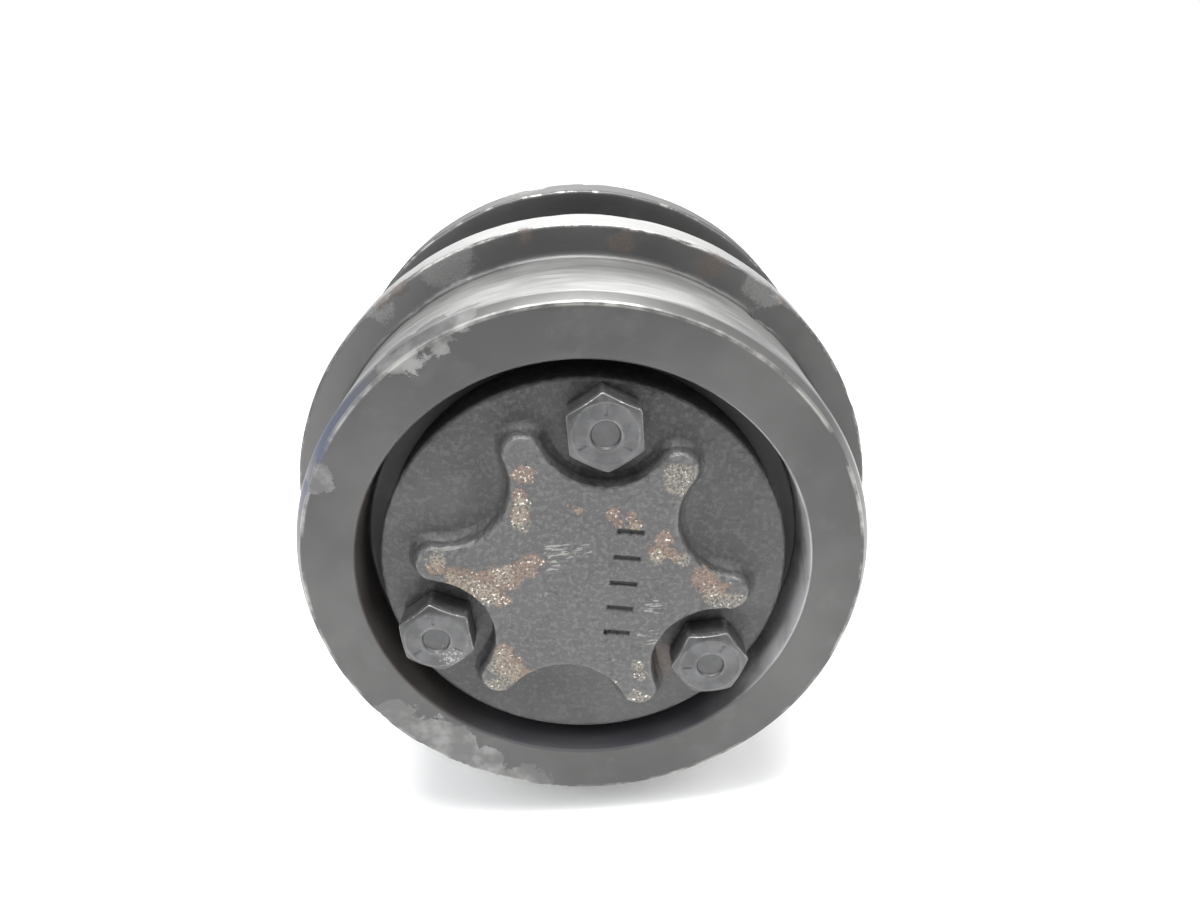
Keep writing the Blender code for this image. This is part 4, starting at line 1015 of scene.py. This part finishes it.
def make_bolt_mesh(name, s, corner_angle, mark_angle):
    """A hex head turned under a cone, with a dimple and three sunk marks, and a threaded shank.

    The hexagon's radius at an angle is flat / cos(fold), where fold is the angle from the nearest
    flat's middle, and its corners are turned down a little. The top's cone drops tan 28 for each
    step outwards. The thread's radius is the shank radius less its depth times a triangle wave of
    height / pitch - angle / turn. Radii r1 to r8 and heights h1 to h8 over the seat are the
    dimpled top, its rounding, the cone, the flats, the underside, the thread, the plain neck and
    the end.
    """
    low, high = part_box(name)
    centre = ((low.x + high.x) / 2, (low.z + high.z) / 2)
    seat = depth_of(low.y) + s.head_height
    a = np.linspace(0, TURN, s.segments, endpoint=False)[None]
    flat = s.across_flats / 2
    sixth = math.pi / 3
    fold = (a - corner_angle) % sixth - sixth / 2
    corner_wear, thread_depth, drop = 0.16 * MM, 1.05 * MM, math.tan(math.radians(28))
    hexagon = np.minimum(flat / np.cos(fold), flat / math.cos(sixth / 2) - corner_wear)
    top, ring = s.head_height, 0.90 * flat
    ones = np.ones_like(a)

    inner, outer = s.dimple_radius - 0.5 * MM, s.dimple_radius + 0.7 * MM
    r1 = np.concatenate([
        np.linspace(0.25 * MM, inner - 0.1 * MM, 9),
        np.linspace(inner, outer, 11),
        np.linspace(outer + 0.2 * MM, ring - 0.35 * MM, 15),
    ])[:, None]
    dip = -s.dimple_depth * (1 - smooth(r1, s.dimple_radius - 0.42 * MM, s.dimple_radius + 0.05 * MM))
    lip = 0.05 * MM * np.exp(-(((r1 - s.dimple_radius - 0.35 * MM) / (0.28 * MM)) ** 2))
    third = TURN / 3
    swing = np.abs((a - mark_angle + third / 2) % third - third / 2) * r1
    mark = (1 - smooth(swing, 0.20 * MM, 0.46 * MM)) * smooth(r1, 4.6 * MM, 4.9 * MM)
    mark = mark * (1 - smooth(r1, 6.7 * MM, 7.0 * MM))
    grid_xyz = on_axle(r1, 0.0, a, centre)
    lumps = ripple(grid_xyz, 4 * MM, 31) * 0.02 * MM
    h1 = top - 0.03 * MM + dip + lip - 0.22 * MM * mark + lumps
    t = np.linspace(0, 1, 4)[:, None]
    r2 = (ring - 0.3 * MM + 0.3 * MM * np.sin(t * math.pi / 2)) * ones
    h2 = (top - 0.03 * MM - 0.12 * MM * (1 - np.cos(t * math.pi / 2))) * ones
    t = np.linspace(0, 1, 7)[1:, None]
    r3 = ring + (hexagon - 0.12 * MM - ring) * t
    h3 = top - 0.15 * MM - (r3 - ring) * drop
    shoulder = top - 0.15 * MM - (hexagon - ring) * drop - 0.14 * MM
    t = np.linspace(0, 1, 9)[:, None]
    h4 = shoulder + (0.62 * MM - shoulder) * t
    r4 = hexagon * np.ones_like(t)
    under = np.array([8.3, 8.2, 7.4, 6.5, 6.15])[:, None] * MM * ones
    r5 = np.concatenate([hexagon - 0.2 * MM, under])
    h5 = np.array([0.42, 0.38, 0.0, 0.0, 0.0, -0.35])[:, None] * MM * ones
    shank = high.y - low.y - s.head_height
    plain, last = 6 * MM, shank - 1.2 * MM
    count = int((last - plain) / (s.thread_pitch / 8))
    h6 = -np.linspace(plain, last, count)[:, None] * ones
    wave = np.abs((h6 / s.thread_pitch - a / TURN) % 1.0 - 0.5) * 2
    fade = smooth(-h6, plain, plain + 2 * MM) * (1 - smooth(-h6, last - 1 * MM, last))
    r6 = s.shank_radius - thread_depth * wave * fade - 0.6 * MM * smooth(-h6, last - 1.4 * MM, last)
    r7 = np.full((2, 1), s.shank_radius) * ones
    h7 = -np.array([0.8, 3.0])[:, None] * MM * ones
    r8 = np.array([4.9, 2.0])[:, None] * MM * ones
    h8 = -shank * np.ones((2, 1)) * ones
    radius = np.concatenate([r1 * ones, r2, r3, r4, r5, r7, r6, r8])
    rise = np.concatenate([h1, h2, h3, h4, h5, h7, h6, h8])
    cone = len(r1) + len(r2)
    side = cone + len(r3)
    edge = np.zeros(radius.shape)
    edge[: len(r1)] = 0.22 * np.exp(-(((r1 - s.dimple_radius - 0.3 * MM) / (0.35 * MM)) ** 2))
    edge[len(r1) : cone + 1] = 0.22
    edge[side - 1 : side + 2] = 1.0
    corner = smooth(np.abs(fold), sixth / 2 * 0.80, sixth / 2 * 0.97)
    edge[side : side + len(r4)] = np.maximum(edge[side : side + len(r4)], corner * 0.9)
    hollow = np.zeros(radius.shape)
    hollow[: len(r1)] = (1 - smooth(r1, s.dimple_radius - 0.3 * MM, s.dimple_radius)) * ones
    grid = on_axle(radius, seat - rise, a, centre)
    return skin(name + "_screw", grid, poles=(True, True), edge=edge, hollow=hollow)


def make_shaft_mesh(s):
    """The shaft's line from its front end, round the clamped end and into the oil gallery."""
    front, rear = depth_of(SHAFT_LOW.y), depth_of(SHAFT_HIGH.y)
    seat = s.seat_radius
    housing_back = depth_of(HOUSING_HIGH.y)
    corners = [
        (0.5 * MM, front), (11 * MM, front), (12 * MM, front + 1 * MM), (12 * MM, 24.0 * MM),
        (12.4 * MM, 24.1 * MM), (12.4 * MM, 41 * MM), (16 * MM, 45 * MM), (16 * MM, 85.35 * MM),
        (17.4 * MM, 87.35 * MM), (17.4 * MM, 104.45 * MM), (seat, 104.45 * MM, 0.4 * MM),
        (seat, housing_back + 0.1 * MM), (s.collar_radius, housing_back + 0.1 * MM, 0.6 * MM),
        (s.collar_radius, -FRONT, 0.8 * MM), (seat, -FRONT, 0.5 * MM), (seat, rear - 2 * MM, 0.5 * MM),
        (seat - 2 * MM, rear, 0.5 * MM), (s.plug_radius + 0.9 * MM, rear, 0.3 * MM),
        (s.plug_radius + 0.1 * MM, rear - 0.8 * MM, 0.2 * MM), (s.plug_radius + 0.1 * MM, rear - 14 * MM),
        (3 * MM, rear - 14 * MM), (3 * MM, 63.2 * MM), (0.5 * MM, 63.2 * MM),
    ]
    line = trace(corners, 4 * MM, 0.25 * MM)
    return skin("shaft_forging", revolve(line, s.segments), poles=(True, True))


def make_cross_hole():
    """A guide cylinder from the gallery up through the shaft: x = r cos a, y = middle + r sin a."""
    a = np.linspace(0, TURN, 32, endpoint=False)[None]
    up = np.array([[0.0], [18 * MM]])
    x, y, z = np.broadcast_arrays(2.5 * MM * np.cos(a), FRONT + 66.2 * MM + 2.5 * MM * np.sin(a), up)
    return skin("cross_hole", np.stack([x, y, z], -1), poles=(True, True))


def make_plug_mesh(s):
    """A round plug with a hexagonal socket. The socket's radius is flat / cos(fold)."""
    front, rear = depth_of(PLUG_LOW.y), depth_of(PLUG_HIGH.y)
    outer = trace(
        [
            (0.5 * MM, front), (s.plug_radius, front, 0.5 * MM), (s.plug_radius, rear, 0.5 * MM),
            (4.9 * MM, rear), (4.75 * MM, rear - 0.1 * MM),
        ],
        1.5 * MM, 0.2 * MM,
    )
    a = np.linspace(0, TURN, 96, endpoint=False)[None]
    sixth = math.pi / 3
    hexagon = s.socket_across_flats / 2 / np.cos(a % sixth - sixth / 2)
    drop = np.array([0.45, 0.7, 2.0, 4.0, 5.2, 5.5])[:, None] * MM
    scale = np.array([1.03, 1.0, 1.0, 1.0, 1.0, 0.92])[:, None]
    cone = np.array([2.2, 1.0, 0.3])[:, None] * MM * np.ones_like(a)
    cone_drop = np.array([5.6, 6.1, 6.4])[:, None] * MM
    radius = np.concatenate([outer[:, :1] * np.ones_like(a), hexagon * scale, cone])
    depth = np.concatenate([outer[:, 1:], rear - drop, rear - cone_drop])
    return skin("fill_plug", on_axle(radius, depth, a), poles=(True, True))


def make_housing_mesh(s):
    """The seal housing's closed line turned round the axle."""
    front, rear = depth_of(HOUSING_LOW.y), depth_of(HOUSING_HIGH.y)
    pocket = rear - 9 * MM
    corners = [
        (s.housing_radius, front, 0.5 * MM), (s.housing_radius, rear, 3.6 * MM),
        (24.1 * MM, rear), (24.1 * MM, pocket), (42.4 * MM, pocket), (42.4 * MM, front, 0.4 * MM),
    ]
    line = trace(corners, 3 * MM, 0.3 * MM, closed=True)
    return skin("seal_housing_ring", revolve(line, s.segments), closed=True)


# ---- operators ---------------------------------------------------------------------------------


class RollerOperator(bpy.types.Operator):
    bl_options = {"REGISTER", "UNDO"}

    def execute(self, context):
        self.build(context.scene.track_roller)
        return {"FINISHED"}


class BuildShell(RollerOperator):
    """Build the shell, with its rolled treads, two flanges, waist, recesses and bores"""

    bl_idname = "track_roller.build_shell"
    bl_label = "Shell"

    def build(self, settings):
        shell = make_shell_mesh(settings.shell)
        centres = bolt_places()
        top = settings.shell.recess_depth - 1 * MM
        bottom = depth_of(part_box(BOLTS[0])[1].y) + 4.5 * MM
        cut(shell, [drill(THREAD_HOLE_RADIUS, top, bottom, centre) for centre in centres])
        settle(shell, "roller_group", "forged_steel", shell_finish(settings.finish), "roller_shell")


class BuildCap(RollerOperator):
    """Build the cast cap with its star boss, sunk bars, pilot and screw holes"""

    bl_idname = "track_roller.build_cap"
    bl_label = "End Cap"

    def build(self, settings):
        cap = make_cap_mesh(settings.cap)
        front, back = depth_of(CAP_LOW.y), depth_of(CAP_HIGH.y)
        cut(cap, [drill(CLEARANCE_HOLE_RADIUS, front, back, centre) for centre in bolt_places()])
        settle(cap, "roller_group", "cast_iron", cap_finish(settings.finish), "end_cap")


class BuildBolts(RollerOperator):
    """Build the three hex cap screws"""

    bl_idname = "track_roller.build_bolts"
    bl_label = "Cap Screws"

    def build(self, settings):
        finish = bolt_finish(settings.finish)
        for name, corner, mark in zip(BOLTS, (90.0, 93.0, 2.0), (85.0, 90.0, 60.0)):
            bolt = make_bolt_mesh(name, settings.bolt, math.radians(corner), math.radians(mark))
            settle(bolt, "roller_group", "fastener_steel", finish, name)


class BuildShaft(RollerOperator):
    """Build the shaft with its collar, oil gallery and filler plug"""

    bl_idname = "track_roller.build_shaft"
    bl_label = "Shaft and Plug"

    def build(self, settings):
        shaft = make_shaft_mesh(settings.shaft)
        cut(shaft, [make_cross_hole()])
        finish = turned_finish(settings.finish.turned)
        settle(shaft, "shaft_group", "turned_steel", finish, "shaft")
        plug = make_plug_mesh(settings.shaft)
        finish = plain_metal_finish("fill_plug_steel", tint(settings.finish.fastener, 1.4), 0.42, 3 * MM)
        settle(plug, "shaft_group", "fastener_steel", finish, "oil_fill_plug")


class BuildSealHousing(RollerOperator):
    """Build the fixed seal housing behind the shell"""

    bl_idname = "track_roller.build_seal_housing"
    bl_label = "Seal Housing"

    def build(self, settings):
        housing = make_housing_mesh(settings.shaft)
        settle(housing, "shaft_group", "cast_iron", cast_housing_finish(settings.finish), "seal_housing")


class FinishInnerPieces(RollerOperator):
    """Give the bearings, seals, gasket, nut and washer their finishes"""

    bl_idname = "track_roller.finish_inner_pieces"
    bl_label = "Inner Pieces"

    def build(self, settings):
        ground = plain_metal_finish("ground_bearing_steel", (0.56, 0.56, 0.57), 0.22, 6 * MM)
        pressed = plain_metal_finish("pressed_cage_steel", (0.30, 0.30, 0.31), 0.38, 5 * MM)
        fastener = plain_metal_finish("lock_nut_steel", tint(settings.finish.fastener, 1.8), 0.4, 4 * MM)
        rubber, fibre = rubber_finish(), fibre_finish()
        finishes = (
            ("toric", rubber),
            ("gasket", fibre),
            ("cage", pressed),
            ("washer", pressed),
            ("nut", fastener),
            ("_cup", ground),
            ("_cone", ground),
            ("_roller_", ground),
            ("seal_ring", ground),
        )
        replaced = {"roller_shell", "end_cap", "shaft", "oil_fill_plug", "seal_housing", *BOLTS}
        for name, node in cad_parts.items():
            if name in replaced:
                continue
            finish = next(value for key, value in finishes if key in name)
            for slot in node.material_slots:
                slot.material = finish


def area_light(name, energy, size, place, target, tone=(1.0, 1.0, 1.0)):
    light = bpy.data.lights.new(name, "AREA")
    light.shape = "RECTANGLE"
    light.size, light.size_y = size
    light.energy = energy
    light.color = tone
    obj = bpy.data.objects.new(name, light)
    bpy.context.scene.collection.objects.link(obj)
    obj.location = place
    obj.rotation_mode = "QUATERNION"
    obj.rotation_quaternion = (Vector(target) - Vector(place)).to_track_quat("-Z", "Y")
    return obj


class BuildStage(RollerOperator):
    """Set out the floor, backdrop, soft lights and camera"""

    bl_idname = "track_roller.build_stage"
    bl_label = "Stage"

    def build(self, settings):
        stage = settings.stage
        self.make_floor(stage)
        self.make_lights()
        self.make_camera(stage)

    def make_floor(self, stage):
        """A level floor that the object stands on: (x, y, ground) over a square grid."""
        ground = CAD_BOX[0].z
        side = np.linspace(-FLOOR_REACH, FLOOR_REACH, 12)
        x, y = np.meshgrid(side, side, indexing="ij")
        here = np.arange(x.size).reshape(x.shape)
        faces = np.stack([here[:-1, :-1], here[1:, :-1], here[1:, 1:], here[:-1, 1:]], -1).reshape(-1, 4)
        mesh = bpy.data.meshes.new("studio_floor")
        mesh.from_pydata(np.stack([x, y, np.full_like(x, ground)], -1).reshape(-1, 3), [], faces)
        floor = bpy.data.objects.new("studio_floor", mesh)
        bpy.context.scene.collection.objects.link(floor)
        mesh.materials.append(floor_finish(stage.floor_tone))

    def make_lights(self):
        world = bpy.data.worlds.new("studio_air")
        world.use_nodes = True
        nodes, links = world.node_tree.nodes, world.node_tree.links
        sky, backdrop = nodes["Background"], nodes.new("ShaderNodeBackground")
        sky.inputs["Color"].default_value = (0.97, 0.985, 1.0, 1.0)
        sky.inputs["Strength"].default_value = 0.60
        backdrop.inputs["Color"].default_value = (1.0, 1.0, 1.0, 1.0)
        backdrop.inputs["Strength"].default_value = 1.1
        either, rays = nodes.new("ShaderNodeMixShader"), nodes.new("ShaderNodeLightPath")
        links.new(rays.outputs["Is Camera Ray"], either.inputs[0])
        links.new(sky.outputs[0], either.inputs[1])
        links.new(backdrop.outputs[0], either.inputs[2])
        links.new(either.outputs[0], nodes["World Output"].inputs["Surface"])
        bpy.context.scene.world = world
        middle = (CAD_BOX[0] + CAD_BOX[1]) / 2
        area_light("top_softbox", 40.0, (1.1, 0.8), (0.05, -0.20, 1.55), middle)
        area_light("left_softbox", 8.5, (0.7, 0.7), (-1.0, -0.75, 1.2), middle, (0.96, 0.98, 1.0))
        area_light("right_softbox", 8.5, (0.7, 0.7), (1.1, -0.55, 1.1), middle, (1.0, 0.99, 0.97))
        area_light("back_softbox", 12.0, (2.0, 0.9), (0.0, 1.5, 0.9), middle)

    def make_camera(self, stage):
        """The camera stands on a ray from a point near the cap, by azimuth and elevation, and rolls
        about its own line of sight."""
        tread = bpy.context.scene.track_roller.shell.tread_radius
        aim = Vector((0.0847 * tread, FRONT + tread / 2, 0.2487 * tread))
        across, up = stage.azimuth, stage.elevation
        back = Vector((math.sin(across) * math.cos(up), -math.cos(across) * math.cos(up), math.sin(up)))
        right = (-back).cross(Vector((0, 0, 1))).normalized()
        over = right.cross(-back)
        turned_right = right * math.cos(stage.roll) + over * math.sin(stage.roll)
        turned_over = over * math.cos(stage.roll) - right * math.sin(stage.roll)
        data = bpy.data.cameras.new("camera")
        data.sensor_width = 36.0
        data.lens = stage.focal_length
        data.clip_start = 0.01
        camera = bpy.data.objects.new("camera", data)
        bpy.context.scene.collection.objects.link(camera)
        turn = Matrix((turned_right, turned_over, back)).transposed().to_4x4()
        camera.matrix_world = Matrix.Translation(aim + back * stage.distance) @ turn
        bpy.context.scene.camera = camera
        bpy.context.scene.view_settings.view_transform = "Standard"


class TrackRollerSettings(bpy.types.PropertyGroup):
    shell: PointerProperty(name="Shell", type=ShellSettings)
    cap: PointerProperty(name="Cap", type=CapSettings)
    bolt: PointerProperty(name="Cap screws", type=BoltSettings)
    shaft: PointerProperty(name="Shaft", type=ShaftSettings)
    finish: PointerProperty(name="Finishes", type=FinishSettings)
    stage: PointerProperty(name="Stage", type=StageSettings)


OPERATORS = (BuildStage, BuildShell, BuildCap, BuildBolts, BuildShaft, BuildSealHousing, FinishInnerPieces)


class TrackRollerPanel(bpy.types.Panel):
    bl_idname = "VIEW3D_PT_track_roller"
    bl_label = "Track Roller"
    bl_space_type = "VIEW_3D"
    bl_region_type = "UI"
    bl_category = "Track Roller"

    def draw(self, context):
        for operator in OPERATORS:
            self.layout.operator(operator.bl_idname)
        settings = context.scene.track_roller
        for key in ("shell", "cap", "bolt", "shaft", "finish", "stage"):
            group = getattr(settings, key)
            box = self.layout.box()
            box.label(text=settings.bl_rna.properties[key].name)
            for item in group.bl_rna.properties:
                if item.identifier not in {"rna_type", "name"}:
                    box.prop(group, item.identifier)


CLASSES = (
    ShellSettings,
    CapSettings,
    BoltSettings,
    ShaftSettings,
    FinishSettings,
    StageSettings,
    TrackRollerSettings,
    *OPERATORS,
    TrackRollerPanel,
)


def register():
    for item in CLASSES:
        bpy.utils.register_class(item)
    bpy.types.Scene.track_roller = PointerProperty(type=TrackRollerSettings)


def unregister():
    del bpy.types.Scene.track_roller
    for item in reversed(CLASSES):
        bpy.utils.unregister_class(item)


def main():
    register()
    bpy.ops.track_roller.build_stage()
    bpy.ops.track_roller.build_shell()
    bpy.ops.track_roller.build_cap()
    bpy.ops.track_roller.build_bolts()
    bpy.ops.track_roller.build_shaft()
    bpy.ops.track_roller.build_seal_housing()
    bpy.ops.track_roller.finish_inner_pieces()


if __name__ == "__main__":
    main()
